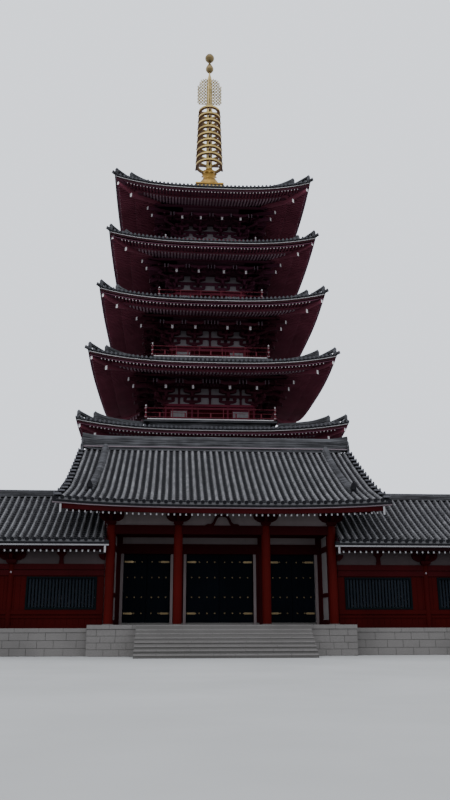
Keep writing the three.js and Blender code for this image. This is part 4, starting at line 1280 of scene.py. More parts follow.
def finial_base():
    """Square base with mouldings and a band of raised lozenges, a bowl and an upturned lotus."""
    half = BASE_HALF
    shape = square_box(half, BASE_FOOT, BASE_TOP - 0.42)
    shape.stamp(square_box(half - 0.04, BASE_TOP - 0.42, BASE_TOP - 0.16))
    shape.stamp(square_box(half + 0.1, BASE_TOP - 0.16, BASE_TOP - 0.06))
    shape.stamp(square_box(half + 0.1, BASE_TOP - 0.06, BASE_TOP, 0.05))
    pitch = 2 * half / LOZENGES
    lozenge = [(-pitch * 0.34, -0.1), (pitch * 0.34, -0.1), (pitch * 0.12, 0.1), (-pitch * 0.12, 0.1)]
    lozenge = extrude(lozenge, -half - 0.02, -half + 0.05)
    spots = [place(-half + (i + 0.5) * pitch, 0, BASE_TOP - 0.29) for i in range(LOZENGES)]
    row = Shape().stamp(lozenge, spots)
    bowl = curve_through([(0.95, 0.06), (0.94, 0.3), (0.82, 0.62), (0.64, 0.86)], 5)
    bowl = [(0.02, 0), (1.0, 0), (1.0, 0.06), *map(tuple, bowl), (0.64, 0.9), (0.48, 0.92), (0.02, 0.92)]
    shape.stamp(lathe(bowl, 32), [place(z=BASE_TOP)])
    stem = curve_through([(0.48, 0), (0.42, 0.3), (0.36, 0.6), (0.32, 0.9), (0.29, 1.18)], 4)
    shape.stamp(lathe([(0.02, 0), *map(tuple, stem), (0.02, 1.18)], 24), [place(z=BOWL_TOP)])
    spin = 360 / PETALS_IN_ROW
    for reach, high, foot in ((0.31, 0.5, 0.02), (0.18, 0.42, 0.46)):
        turns = [spin / 2 + spin * i for i in range(PETALS_IN_ROW)]
        shape.stamp(lotus_petal(reach, high, foot), [place(z=BOWL_TOP, turn=turn) for turn in turns])
    return shape, four_sides(row)


def finial_pole():
    """The pole with its sheath and collars, and the jewel and ball on it."""
    profile = [(0.02, LOTUS_TOP), (0.3, LOTUS_TOP), (0.28, LOTUS_TOP + 0.2), (0.25, FLAME_LOW - 0.3),
               (0.3, FLAME_LOW - 0.22), (0.33, FLAME_LOW - 0.1), (0.28, FLAME_LOW), (0.26, FLAME_LOW + 0.1),
               (0.205, FLAME_HIGH - 0.3), (0.2, FLAME_HIGH + 0.02), (0.155, FLAME_HIGH + 0.24),
               (0.08, FLAME_HIGH + 0.52), (0.07, JEWEL - 0.06)]
    jewel = curve_through([(0.07, 0), (0.2, 0.02), (0.34, 0.22), (0.355, 0.42), (0.23, 0.72), (0.1, 0.96),
                           (0.07, 1.14)], 4)
    ball = curve_through([(0.07, 0), (0.22, 0.02), (0.4, 0.24), (0.42, 0.46), (0.28, 0.7), (0.12, 0.8)], 4)
    top = [(0.07, JEWEL - 0.08)] + [(r, JEWEL + z) for r, z in jewel] + [(r, BALL + z) for r, z in ball]
    pole = lathe([*profile, (0.02, JEWEL - 0.06)], 24)
    return pole, lathe([(0.02, JEWEL - 0.08), *top, (0.02, TIP)], 24)


def finial_rings():
    """Nine broad rings with their hubs, four spokes in each, and bells under their rims."""
    rings, spokes, bells = Shape(), Shape(), Shape()
    bell = [(0.02, -0.27), (0.115, -0.27), (0.09, -0.2), (0.075, -0.07), (0.05, 0), (0.02, 0)]
    bell = lathe(bell, 10)
    link_rod = lathe([(0.01, -0.02), (0.01, 0.05)], 6)
    for i in range(RING_COUNT):
        z = RING_FIRST + i * RING_PITCH
        r = RING_WIDE + (RING_NARROW - RING_WIDE) * i / (RING_COUNT - 1)
        half, bevel = RING_HIGH / 2, 0.025
        inner = r - RING_RADIAL
        section = [(inner, -half + bevel), (inner + bevel, -half), (r - bevel, -half), (r, -half + bevel),
                   (r, half - bevel), (r - bevel, half), (inner + bevel, half), (inner, half - bevel)]
        rings.stamp(lathe(section, 48, ring=True), [place(z=z)])
        hub = [(HUB_RADIUS, -0.14), (0.3, -0.1), (0.315, 0), (0.3, 0.1), (HUB_RADIUS, 0.14)]
        rings.stamp(lathe(hub, 20), [place(z=z)])
        spoke = box(HUB_RADIUS, inner + 0.03, -SPOKE_WIDE / 2, SPOKE_WIDE / 2, -SPOKE_HIGH / 2,
                    SPOKE_HIGH / 2)
        spokes.stamp(spoke, [place(z=z, turn=90 * k) for k in range(4)])
        angles = np.radians(360 / BELLS * np.arange(BELLS))
        spots = [place((r - 0.05) * math.cos(a), (r - 0.05) * math.sin(a), z - half - 0.05) for a in angles]
        bells.stamp(bell, spots)
        bells.stamp(link_rod, spots)
    return rings, spokes, bells


def finial_flame():
    """Four open-work fins: wavy stems that touch in a net, with pointed tips round the edge."""
    low, high, inner, outer = FLAME_LOW, FLAME_HIGH, FLAME_INNER, FLAME_OUTER
    spacing = (outer - inner) / (FLAME_STEMS - 1)
    fin = Shape()
    tip = lathe([(0.005, -0.09), (0.04, -0.03), (0.004, 0.13)], 6)
    tube = arc(0, 0, FLAME_STEM_RADIUS, 0, 300, 6)
    for k in range(FLAME_STEMS):
        share = k / (FLAME_STEMS - 1)
        foot = low + 0.14 * share ** 4
        top = high - 0.8 * share ** 3.5
        z = np.linspace(foot, top, 80)
        x = inner + spacing * k + spacing / 2 * np.sin(2 * math.pi * (z - low) / FLAME_WAVE + k * math.pi)
        flat = np.stack([x, z, 0 * z], 1)
        stem = sweep(flat, tube).bent(lambda p: p[:, [0, 2, 1]])
        fin.stamp(stem, [place(size=(1, -1, 1))])
        fin.stamp(tip, [place(x[-1], 0, top)])
        curls = np.arange(foot + 0.1 + 0.085 * (k % 2), top - 0.1, FLAME_WAVE / 2)
        fin.stamp(tip, [place(np.interp(at, z, x) + 0.03, 0, at + 0.06) for at in curls])
    spikes = np.arange(low + 0.25, high - 0.75, FLAME_WAVE)
    fin.stamp(tip, [place(outer + spacing / 2 + 0.02, 0, z) for z in spikes])
    fin.stamp(box(inner, outer, -0.02, 0.02, low, low + 0.05))
    return four_sides(fin)


def build_finial():
    base, lozenges = finial_base()
    piece("finial_base_and_lotus", base, "gilt", replaces=["finial_base"], smooth=40)
    piece("finial_base_lozenges", lozenges, "pale_gilt")
    pole, balls = finial_pole()
    piece("finial_pole", pole, "pale_gilt", replaces=["finial_pole"], smooth=40)
    piece("finial_jewel_and_ball", balls, "olive", smooth=40)
    rings, spokes, bells = finial_rings()
    piece("finial_nine_rings", rings, "ring_gilt", replaces=["finial_rings"], smooth=40)
    piece("finial_ring_spokes", spokes, "bronze")
    piece("finial_bells", bells, "bronze")
    piece("finial_flame_fins", finial_flame(), "flame", replaces=["finial_flame"])


build_finial()


# Gabled roofs of the hall and the wings: pitches of tile rows, courses and rafters, and the
# step of each course over the one above
GABLE_PITCH = 0.389
GABLE_COURSE = 0.31
GABLE_RAFTERS = 0.31
GABLE_PHASES = [-0.24, -0.215, -0.13, 0.0, 0.13, 0.215, 0.24, 0.5]
GABLE_HEIGHTS = [-0.005, 0.07, 0.115, 0.13, 0.115, 0.07, -0.005, -0.035]
WING_PHASES = [-0.2, -0.18, -0.11, 0.0, 0.11, 0.18, 0.2, 0.5]
LAP, COVER_LAP = 0.036, 0.012

# Height of the tile bed's edge over the eave line, and how far under it the front edge reaches back
BED_EDGE, EDGE_DEEP = 0.25, 0.3

# Verge tiles on the hall's front and back slopes and on each slope of a wing
VERGE_TILES, BACK_VERGE_TILES, WING_VERGE_TILES = 14, 7, 10

# Share of the slope, from the eave, in which the roof's ends flare out
FLARE_SHARE = 0.24


class Gable:
    """A gabled roof along X: t runs from 0 at an eave to 1 at the ridge; side is -1 in front."""

    def __init__(self, eave_y, ridge_y, back_y, eave, ridge, hollow, lift=0.0, end=1.0, flare=0.0):
        self.eave_y, self.ridge_y, self.back_y = eave_y, ridge_y, back_y
        self.eave, self.ridge, self.hollow = eave, ridge, hollow
        self.lift, self.end, self.flare = lift, end, flare
        self.edge = eave + BED_EDGE
        self.run = ridge_y - eave_y
        self.back_end = 1 - (back_y - ridge_y) / self.run
        self.slope = math.hypot(1, (ridge - self.edge) / self.run)

    def sweep_up(self, x, t):
        return self.lift * (np.abs(x) / self.end) ** 3 * (1 - t)

    def surface(self, x, t, side=-1):
        """Points of the tile bed."""
        x, t = np.broadcast_arrays(np.asarray(x, float), np.asarray(t, float))
        share = (1 - self.hollow) * t + self.hollow * t * t
        height = self.edge + (self.ridge - self.edge) * share + self.sweep_up(x, t)
        upper = 1 - np.clip(1 - t / FLARE_SHARE, 0, 1) ** 1.5
        x = x - np.sign(x) * self.flare * upper * (np.abs(x) / self.end) ** 3
        return np.stack([x, self.ridge_y + side * self.run * (1 - t), height], -1)

    def height_at(self, y):
        """Height of the tile bed over a y between the eaves, in the middle of the roof."""
        return float(self.surface(0, 1 - abs(y - self.ridge_y) / self.run)[2])


def gable_tiles(roof, side, x0, x1, phases=GABLE_PHASES):
    """Cover and pan tiles of one slope, with a real step at each course."""
    columns, step = tile_columns(x0, x1, GABLE_PITCH, phases, GABLE_HEIGHTS)
    start = 0.0 if side < 0 else roof.back_end
    courses = round(roof.run * roof.slope * (1 - start) / GABLE_COURSE)
    t = np.repeat(np.linspace(start, 1, courses + 1), 2)[1:-1]
    lap = np.tile([1.0, 0.0], courses)
    course = np.repeat(np.arange(courses), 2) + np.tile([0, 0.999], courses)
    x = columns[:, 0]
    points = roof.surface(x[None], t[:, None], side)
    step_up = np.where(columns[:, 1] > 0, COVER_LAP, LAP)
    points[..., 2] += columns[None, :, 1] + lap[:, None] * step_up
    texture = np.stack(np.broadcast_arrays(columns[None, :, 2], course[:, None]), -1).reshape(-1, 2)
    faces = grid_faces(len(t), len(x))
    if side > 0:
        faces = faces[:, ::-1]
    slope = Shape().add(points.reshape(-1, 3), faces, texture=texture)
    # front edge of the bed, with a hanging lip on each pan
    front = roof.surface(x, start, side)
    top = front.copy()
    top[:, 2] += columns[:, 1] + step_up
    low = front.copy()
    low[:, 2] -= np.where(columns[:, 1] < 0, 0.12, 0.1)
    inner = low.copy()
    inner[:, 1] -= side * EDGE_DEEP
    edge = grid_faces(3, len(x))
    if side > 0:
        edge = edge[:, ::-1]
    slope.add(np.concatenate([inner, low, top]), edge)
    ends = Shape()
    turn = 0 if side < 0 else 180
    middles = x0 + (np.arange(round((x1 - x0) / step)) + 0.5) * step
    disc = tile_end(0.105, 0.07)
    ends.stamp(disc, [place(*(roof.surface(at, start, side) + (0, 0, 0.03)), turn=turn) for at in middles])
    return slope, ends


def both_slopes(roof, x0, x1, phases=GABLE_PHASES):
    """Tiles of the front and the back slope, and their round ends."""
    tiles, ends = gable_tiles(roof, -1, x0, x1, phases)
    back, back_ends = gable_tiles(roof, 1, x0, x1, phases)
    return tiles.stamp(back), ends.stamp(back_ends)


def gable_layer(roof, x0, x1, above, below, start=0.0, back=None, stations=9, steps=8):
    """A sheet over both slopes between two heights from the tile bed."""
    back = roof.back_end if back is None else back
    loop = []
    for offset, order in ((above, 1), (below, -1)):
        line = [(-1, t, offset) for t in np.linspace(start, 1, steps)]
        line += [(1, t, offset) for t in np.linspace(1, back, steps)[1:]]
        loop += line[::order]
    points = []
    for x in np.linspace(x0, x1, stations):
        for side, t, offset in loop:
            points.append(roof.surface(x, t, side) + (0, 0, offset))
    many = len(loop)
    last = (stations - 1) * many
    near = np.arange(many)
    faces = grid_faces(stations, many, False, True)[:, ::-1]
    return Shape().add(points, faces, [near], [last + near[::-1]])


def gable_strip(roof, x0, x1, inward, low, high, thick, stations=13):
    """A board along the front eave: its front face lies inward of the edge."""
    points = []
    for x in np.linspace(x0, x1, stations):
        lift = float(roof.sweep_up(x, 0))
        y = roof.eave_y + inward
        for dy, z in ((0, low), (0, high), (thick, high), (thick, low)):
            points.append((x, y + dy, roof.eave + z + lift))
    last = (stations - 1) * 4
    faces = grid_faces(stations, 4, False, True)[:, ::-1]
    return Shape().add(points, faces, [[0, 1, 2, 3]], [[last + 3, last + 2, last + 1, last]])


def gable_rafters(roof, middles, inward, drop, rise, inner_y, wide, high):
    """Rafters under the front eave and their end plates: (bars, plates)."""
    bars, plates = Shape(), Shape()
    tip = roof.eave_y + inward
    for x in middles:
        z = roof.eave - drop + float(roof.sweep_up(x, 0))
        back = z + rise * (inner_y - tip)
        half, tall = wide / 2, high / 2
        outline = [(tip, z - tall), (inner_y, back - tall), (inner_y, back + tall), (tip, z + tall)]
        bars.stamp(extrude(outline, x - half, x + half, "x"))
        plates.stamp(box(x - half + 0.004, x + half - 0.004, tip - END_PLATE, tip, z - tall + 0.004,
                         z + tall - 0.004))
    return bars, plates


def ridge_stack(x0, x1, y, low, high, wide, layers, curl=0.0, reach=1.0):
    """A ridge of thin tile courses under a round cap, its ends turned up."""
    stations = np.linspace(x0, x1, 31)
    middle, half = (x0 + x1) / 2, (x1 - x0) / 2
    rise = curl * np.clip((np.abs(stations - middle) - half + reach) / reach, 0, 1) ** 2
    path = np.stack([stations, 0 * stations + y, low + rise], 1)
    cap = wide * 0.34
    top = high - low - cap * 0.8
    crown = [(px, min(pz, high - low)) for px, pz in arc(0, top, cap, 0, 180, 7)]
    return sweep(path, coursed(wide / 2, 0, top, layers, 0.03, crown), level=True)


HALL_ROOF = Gable(-20.02, -12.4, -8.3, 7.45, 12.15, 0.14, lift=0.25, end=9.0, flare=0.3)
HALL_TILE_HALF, HALL_END, HALL_STACK = 8.66, 9.0, 8.5
HALL_RIDGE, HALL_RIDGE_FOOT = (12.1, 13.06), (12.3, 12.36)
HALL_BARGE, HALL_BARGE_MIDDLE, HALL_RAFTER_HALF = (8.5, 8.6), 8.56, 8.45
HALL_DESCEND = {"x": 7.16, "wide": 0.44, "high": 0.38, "from": 0.17, "ogre": 0.75, "flare": 0.2}


def verge_tiles(roof, x0, x1, count, side=-1):
    """Crosswise cover tiles on a gable's edge, each with a round end that faces outwards."""
    out = 1 if x1 > x0 else -1
    tube = [(0.0, -0.04)] + [(0.15 * math.cos(a), 0.12 * math.sin(a)) for a in np.linspace(0, math.pi, 7)]
    start = 0.0 if side < 0 else roof.back_end
    shape, discs = Shape(), Shape()
    disc = tile_end(0.15, 0.05)
    for i in range(count):
        t = start + (1 - start) * (i + 0.35) / count
        if t < start or t > 0.985:
            continue
        x, y, z = roof.surface(x0, t, side)
        end = roof.surface(x1, t, side)
        low, high = sorted((x, end[0] - out * 0.05))
        outline = [(y + dy, z + dz + 0.08) for dy, dz in tube]
        shape.stamp(extrude(outline, low, high, "x"))
        discs.stamp(disc, [place(end[0] - out * 0.055, y, end[2] + 0.09, turn=90 * out)])
    return shape, discs


def build_hall_roof():
    """The hall's roof: tiles, ridges with their end tiles, eave, rafters and bargeboards."""
    roof = HALL_ROOF
    tiles, ends = both_slopes(roof, -HALL_TILE_HALF, HALL_TILE_HALF)
    ridges, ogres, guards, verges = Shape(), Shape(), Shape(), Shape()
    ridges.stamp(ridge_stack(-HALL_STACK, HALL_STACK, roof.ridge_y, *HALL_RIDGE, 0.46, 6, 0.2, 1.6))
    foot = bar(0, HALL_STACK + 0.04, roof.ridge_y - 0.31, roof.ridge_y + 0.31, *HALL_RIDGE_FOOT)
    for x in (-HALL_DESCEND["x"], HALL_DESCEND["x"]):
        for side, start in ((-1, HALL_DESCEND["from"]), (1, roof.back_end + 0.1)):
            along = np.linspace(0.995, start, 20)
            line = roof.surface(x, along, side)
            line[:, 2] += 0.24 * np.clip((along - 0.86) / 0.135, 0, 1) ** 2
            line[:, 0] += math.copysign(HALL_DESCEND["flare"], x) * np.clip((0.7 - along) / 0.5, 0, 1) ** 2
            section = ridge_section(HALL_DESCEND["wide"], HALL_DESCEND["high"], 3)
            ridges.stamp(sweep(line, section, level=True))
            spot = place(*(line[-1] - (0, 0, 0.12)), turn=0 if side < 0 else 180)
            guards.stamp(ogre_tile(0.3, HALL_DESCEND["ogre"], 0.1), [spot])
    for out in (-1, 1):
        for side, many in ((-1, VERGE_TILES), (1, BACK_VERGE_TILES)):
            rows, discs = verge_tiles(roof, out * (HALL_TILE_HALF - 0.06), out * HALL_END, many, side)
            verges.stamp(rows).stamp(discs)
        spot = (out * (HALL_STACK - 0.02), roof.ridge_y, roof.ridge - 0.35)
        ogres.stamp(ogre_tile(0.75, 1.15, 0.2), [place(*spot, turn=90 * out)])
    bed = gable_layer(roof, -HALL_END, HALL_END, 0.0, -0.1, 0.004, roof.back_end + 0.004)
    boards = gable_layer(roof, -HALL_END + 0.3, HALL_END - 0.3, -0.3, -0.36, 0.02, roof.back_end + 0.02)
    line = gable_strip(roof, -HALL_END, HALL_END, 0.06, -0.02, 0.035, 0.24)
    fascia = gable_strip(roof, -HALL_BARGE[0], HALL_BARGE[0], 0.12, -0.28, -0.03, 0.08)
    bed.stamp(gable_strip(roof, -HALL_END, HALL_END, 0.0, 0.045, 0.15, 0.3))
    count = int(HALL_RAFTER_HALF / GABLE_RAFTERS)
    middles = (np.arange(-count, count) + 0.5) * GABLE_RAFTERS
    bars, plates = gable_rafters(roof, middles, 0.2, 0.35, 0.42, -18.0, 0.085, 0.115)
    barge = Shape()
    lift = float(roof.sweep_up(HALL_BARGE_MIDDLE, 0))
    for out in (-1, 1):
        x0, x1 = side_span(out, *HALL_BARGE)
        barge.stamp(gable_layer(roof, x0, x1, -0.1, -0.56, 0.012, roof.back_end + 0.012, 2, 10))
        plates.stamp(box(x0, x1, roof.eave_y + 0.05, roof.eave_y + 0.07, roof.eave - 0.5 + lift,
                         roof.eave - 0.06 + lift))
    piece("hall_roof_tiles", tiles, "light_tile", replaces=["hall_roof"])
    # The round tile ends and the bed under them are near-black: painted shade under the eave edge
    piece("hall_roof_tile_ends", ends, "dark_tile")
    piece("hall_roof_bed", bed, "dark_tile")
    piece("hall_verge_tiles", verges, "tile")
    piece("hall_roof_ridges", ridges, "ridge")
    piece("hall_ridge_foot", foot, "faded")
    piece("hall_roof_ogre_tiles", ogres, "ridge")
    piece("hall_descending_ridge_ends", guards, "dark_tile")
    piece("hall_roof_boards", boards, "shaded")
    piece("hall_eave_line", line, "faded")
    piece("hall_fascia", fascia, "crimson")
    piece("hall_rafters", bars, "beam")
    piece("hall_bargeboards", barge, "crimson")
    piece("hall_rafter_ends", plates, "pale")


build_hall_roof()


# Wings: one roof each, mirrored about the middle
WING_ROOF = Gable(-19.02, -14.06, -9.1, 5.6, 8.86, 0.2)
WING_INNER, WING_END = 6.3, 17.35
WING_FRONT = -17.95
WING_RIDGE, WING_OGRE_FOOT = (8.84, 9.27), 8.5

# Where each wing's eave starts at the hall's side, and where its short return ends
WING_EAVE_START, WING_RETURN = 6.06, 6.2


def build_wing_roof(name, out):
    """A wing's roof, on the left for out -1 and on the right for 1."""
    roof = WING_ROOF
    x0, x1 = side_span(out, WING_INNER, WING_END - 0.34)
    tiles, ends = both_slopes(roof, x0, x1, WING_PHASES)
    verges = Shape()
    for side in (-1, 1):
        rows, discs = verge_tiles(roof, out * (WING_END - 0.4), out * WING_END, WING_VERGE_TILES, side)
        verges.stamp(rows).stamp(discs)
    stack = side_span(out, WING_INNER, WING_END - 0.3)
    ridge = ridge_stack(*stack, roof.ridge_y, *WING_RIDGE, 0.34, 3)
    spot = place(out * (WING_END - 0.32), roof.ridge_y, WING_OGRE_FOOT, turn=90 * out)
    ends.stamp(ogre_tile(0.55, 0.8, 0.15), [spot])
    a, b = side_span(out, WING_INNER, WING_END)
    bed = gable_layer(roof, a, b, 0.0, -0.1, 0.004, roof.back_end + 0.004, 2)
    bed.stamp(gable_strip(roof, a, b, 0.0, 0.07, 0.15, 0.3, 2))
    boards = gable_layer(roof, a, b, -0.27, -0.32, 0.02, roof.back_end + 0.02, 2)
    line = gable_strip(roof, a, b, 0.06, -0.035, 0.045, 0.24, 2)
    c, d = side_span(out, WING_EAVE_START, WING_INNER)
    line.stamp(box(c, d, roof.eave_y + 0.06, roof.eave_y + 0.2, roof.eave - 0.035, roof.eave + 0.045))
    bed.stamp(box(c, d, roof.eave_y, roof.eave_y + 0.3, roof.eave + 0.06, roof.eave + 0.24))
    c, d = side_span(out, WING_RETURN, WING_INNER)
    line.stamp(box(c, d, roof.eave_y + 0.05, roof.eave_y + 0.1, roof.eave - 0.4, roof.eave - 0.045))
    c, d = side_span(out, WING_INNER, WING_END - 0.2)
    fascia = gable_strip(roof, c, d, 0.12, -0.24, -0.045, 0.08, 2)
    count = int((WING_END - 0.5 - WING_INNER) / GABLE_RAFTERS)
    middles = [out * (WING_INNER + 0.2 + i * GABLE_RAFTERS) for i in range(count)]
    bars, plates = gable_rafters(roof, middles, 0.18, 0.3, 0.36, WING_FRONT + 0.1, 0.09, 0.12)
    c, d = side_span(out, WING_END - 0.26, WING_END - 0.14)
    barge = gable_layer(roof, c, d, -0.1, -0.45, 0.012, roof.back_end + 0.012, 2, 10)
    pieces(f"wing_{name}", ("roof_tiles", tiles, "light_tile", f"wing_{name}_roof"),
           # The round tile ends and the bed are near-black: painted shade under the eave edge
           ("roof_tile_ends", ends, "dark_tile"),
           ("roof_bed", bed, "dark_tile"),
           ("roof_ridge", ridge, "ridge"),
           ("verge_tiles", verges, "tile"),
           ("roof_boards", boards, "shaded"),
           ("eave_line", line, "pale"),
           # The wing fascia is near-black: painted shade under the tile edge
           ("fascia", fascia, "dusk"),
           ("rafters", bars, "beam"),
           ("bargeboards", barge, "crimson"),
           ("rafter_ends", plates, "pale"))


for wing_name, wing_side in (("left", -1), ("right", 1)):
    build_wing_roof(wing_name, wing_side)


# Hall front: columns, beams, brackets and the doorway wall
COLUMN_X = [-6.02, -2.39, 2.39, 6.02]
COLUMN_Y = -18.06
PLATFORM_TOP = 1.53
BEAM_LOW, BEAM_TOP = 6.26, 6.74
HALL_BRACKET_TOP, HALL_BEAM_HALF, HALL_PURLIN = 7.5, 8.3, (7.8, 8.08)
INNER_POST, HEAD_WALL_TOP = 2.36, 7.33
DOOR_SILL, DOOR_HEAD, LINTEL_TOP, BAND_TOP = 1.64, 5.39, 5.93, 6.31
DOORWAYS = {"left": (-5.43, -2.79), "centre": (-1.9, 1.9), "right": (2.79, 5.43)}
DOOR_FRONT, DOOR_BACK, LEAF_Y = -15.95, -15.65, -15.8
SIDE_INNER, SIDE_OUTER = 5.82, 6.3
WALL_BACK = -9.9


def boat_bracket(reach, low, high, thick):
    """A bearing block under one wide arm with curved ends, and three small blocks on it."""
    shape = bearing_block(0.52, low, low + (high - low) * 0.3)
    arm_low, arm_high = low + (high - low) * 0.24, low + (high - low) * 0.82
    shape.stamp(extrude(bow_outline(reach, arm_low, arm_high), -thick / 2, thick / 2))
    for side in (-1, 1):
        scroll = lathe([(0.1, 0), (0.1, 0.02), (0.055, 0.035), (0.02, 0.03)], 10)
        spot = (side * (reach - 0.14), -thick / 2 + 0.002, arm_high - 0.13)
        shape.stamp(scroll, [place(*spot, tilt=90)])
    nose = [(0.3, arm_low + 0.06), (0.3, arm_high), (-0.5, arm_high - 0.02), (-0.56, arm_high - 0.12),
            (-0.46, arm_low + 0.14), (-0.2, arm_low + 0.02)][::-1]
    shape.stamp(extrude(nose, -0.09, 0.09, "x"))
    blocks = bearing_block(0.26, arm_high, high)
    return shape.stamp(blocks, [place(x) for x in (-reach + 0.16, 0, reach - 0.16)])


def frog_leg_strut(low, high, half, thick):
    """An open strut whose two legs curve out to pointed feet."""
    tall = high - low
    outer = [(half, 0.0), (half * 0.98, 0.06), (half * 0.86, 0.13), (half * 0.68, 0.13), (half * 0.55, 0.3),
             (half * 0.46, 0.62), (half * 0.36, 0.86), (half * 0.2, 1.0)]
    inner = [(half * 0.14, 0.8), (half * 0.26, 0.7), (half * 0.35, 0.46), (half * 0.43, 0.18),
             (half * 0.5, 0.0)]
    right = [(x, low + z * tall) for x, z in outer]
    under = [(x, low + z * tall) for x, z in inner]
    loop = both_halves(right) + [(-x, z) for x, z in reversed(under)] + under
    return extrude(loop, -thick / 2, thick / 2)


def build_hall_front():
    """Beams, frieze and brackets of the porch, and the heads and bases of its columns."""
    for i in range(len(COLUMN_X)):
        repaint(f"hall_column_{i + 1}", "red")
    beams, dark, plaster = Shape(), Shape(), Shape()
    for x0, x1 in zip(COLUMN_X[:-1], COLUMN_X[1:]):
        beams.stamp(box(x0, x1, COLUMN_Y - 0.15, COLUMN_Y + 0.15, BEAM_LOW, BEAM_TOP - 0.1))
        dark.stamp(box(x0, x1, COLUMN_Y - 0.13, COLUMN_Y + 0.13, BEAM_TOP - 0.1, BEAM_TOP))
    head = lathe([(0.24, BEAM_LOW), (0.24, BEAM_TOP - 0.1), (0.21, BEAM_TOP)], 20)
    heads = Shape().stamp(head, [place(x, COLUMN_Y) for x in COLUMN_X])
    plaster.stamp(box(-SIDE_OUTER, SIDE_OUTER, COLUMN_Y - 0.05, COLUMN_Y + 0.05, BEAM_TOP, HALL_PURLIN[0]))
    bracket = boat_bracket(0.68, BEAM_TOP, HALL_BRACKET_TOP, 0.2)
    dark.stamp(bracket, [place(x, COLUMN_Y - 0.06) for x in COLUMN_X])
    dark.stamp(frog_leg_strut(BEAM_TOP, 7.34, 0.93, 0.1), [place(0, COLUMN_Y - 0.1)])
    dark.stamp(bar(0, HALL_BEAM_HALF, COLUMN_Y - 0.18, COLUMN_Y + 0.14, HALL_BRACKET_TOP, 7.74))
    dark.stamp(bar(0, HALL_BEAM_HALF, COLUMN_Y - 0.12, COLUMN_Y + 0.12, *HALL_PURLIN))
    bases = Shape()
    base = lathe([(0.3, 0), (0.3, 0.02), (0.27, 0.045), (0.245, 0.05)], 24)
    bases.stamp(base, [place(x, COLUMN_Y, PLATFORM_TOP) for x in COLUMN_X])
    # Tie beams and brackets take the near-black red: painted shade under the eave
    piece("hall_tie_beams", beams, "beam", replaces=["hall_front_beam"])
    piece("hall_column_heads", heads, "red")
    piece("hall_column_bases", bases, "stone")
    piece("hall_front_frieze", plaster, "shaded_plaster")
    piece("hall_brackets", dark, "beam")


def build_doorway_wall():
    """Lintel, plaster band, jambs and posts round the three doorways."""
    for node in ("door_pier_left", "door_pier_right"):
        repaint(node, "beam")
    inner = SIDE_INNER - 0.002
    lintel = boxes((-inner, inner, DOOR_FRONT - 0.05, DOOR_BACK, DOOR_HEAD, LINTEL_TOP - 0.14),
                   (-inner, inner, DOOR_FRONT - 0.09, DOOR_BACK, LINTEL_TOP - 0.14, LINTEL_TOP),
                   (-inner, inner, DOOR_FRONT - 0.07, DOOR_FRONT, BAND_TOP, BAND_TOP + 0.3),
                   (-inner, inner, DOOR_FRONT - 0.04, DOOR_FRONT, 7.1, HEAD_WALL_TOP))
    for x in (-SIDE_INNER + 0.12, -INNER_POST, INNER_POST, SIDE_INNER - 0.12):
        lintel.stamp(bar(x, 0.19, DOOR_FRONT - 0.11, DOOR_FRONT, LINTEL_TOP, HEAD_WALL_TOP))
        lintel.stamp(bar(x, 0.14, DOOR_FRONT - 0.06, DOOR_FRONT, PLATFORM_TOP, DOOR_HEAD))
    band = boxes((-inner, inner, DOOR_FRONT, DOOR_BACK, LINTEL_TOP, HEAD_WALL_TOP))
    jambs = Shape()
    for x0, x1 in DOORWAYS.values():
        for a, b in ((x0 - 0.15, x0), (x1, x1 + 0.15)):
            jambs.stamp(box(a, b, DOOR_FRONT - 0.08, DOOR_FRONT, DOOR_SILL - 0.1, DOOR_HEAD - 0.02))
    piece("doorway_lintel_and_posts", lintel, "beam", replaces=["door_head_wall"])
    piece("doorway_plaster_band", band, "shaded_plaster")
    piece("doorway_jambs", jambs, "shaded_plaster")


# Fittings of a door leaf: heights of the rows of studs, and which rows have a hinge strap
STUD_ROWS = [4.95, 4.09, 3.01, 2.14]
STRAP_ROWS = [0, 3]
LEAF_GAP = 0.02
HINGE_IN = 0.06

# Distance between studs by how many there are in a row, and the first one's from the free edge
STUD_PITCH = {3: 0.4, 4: 0.435}
STUD_IN = 0.27


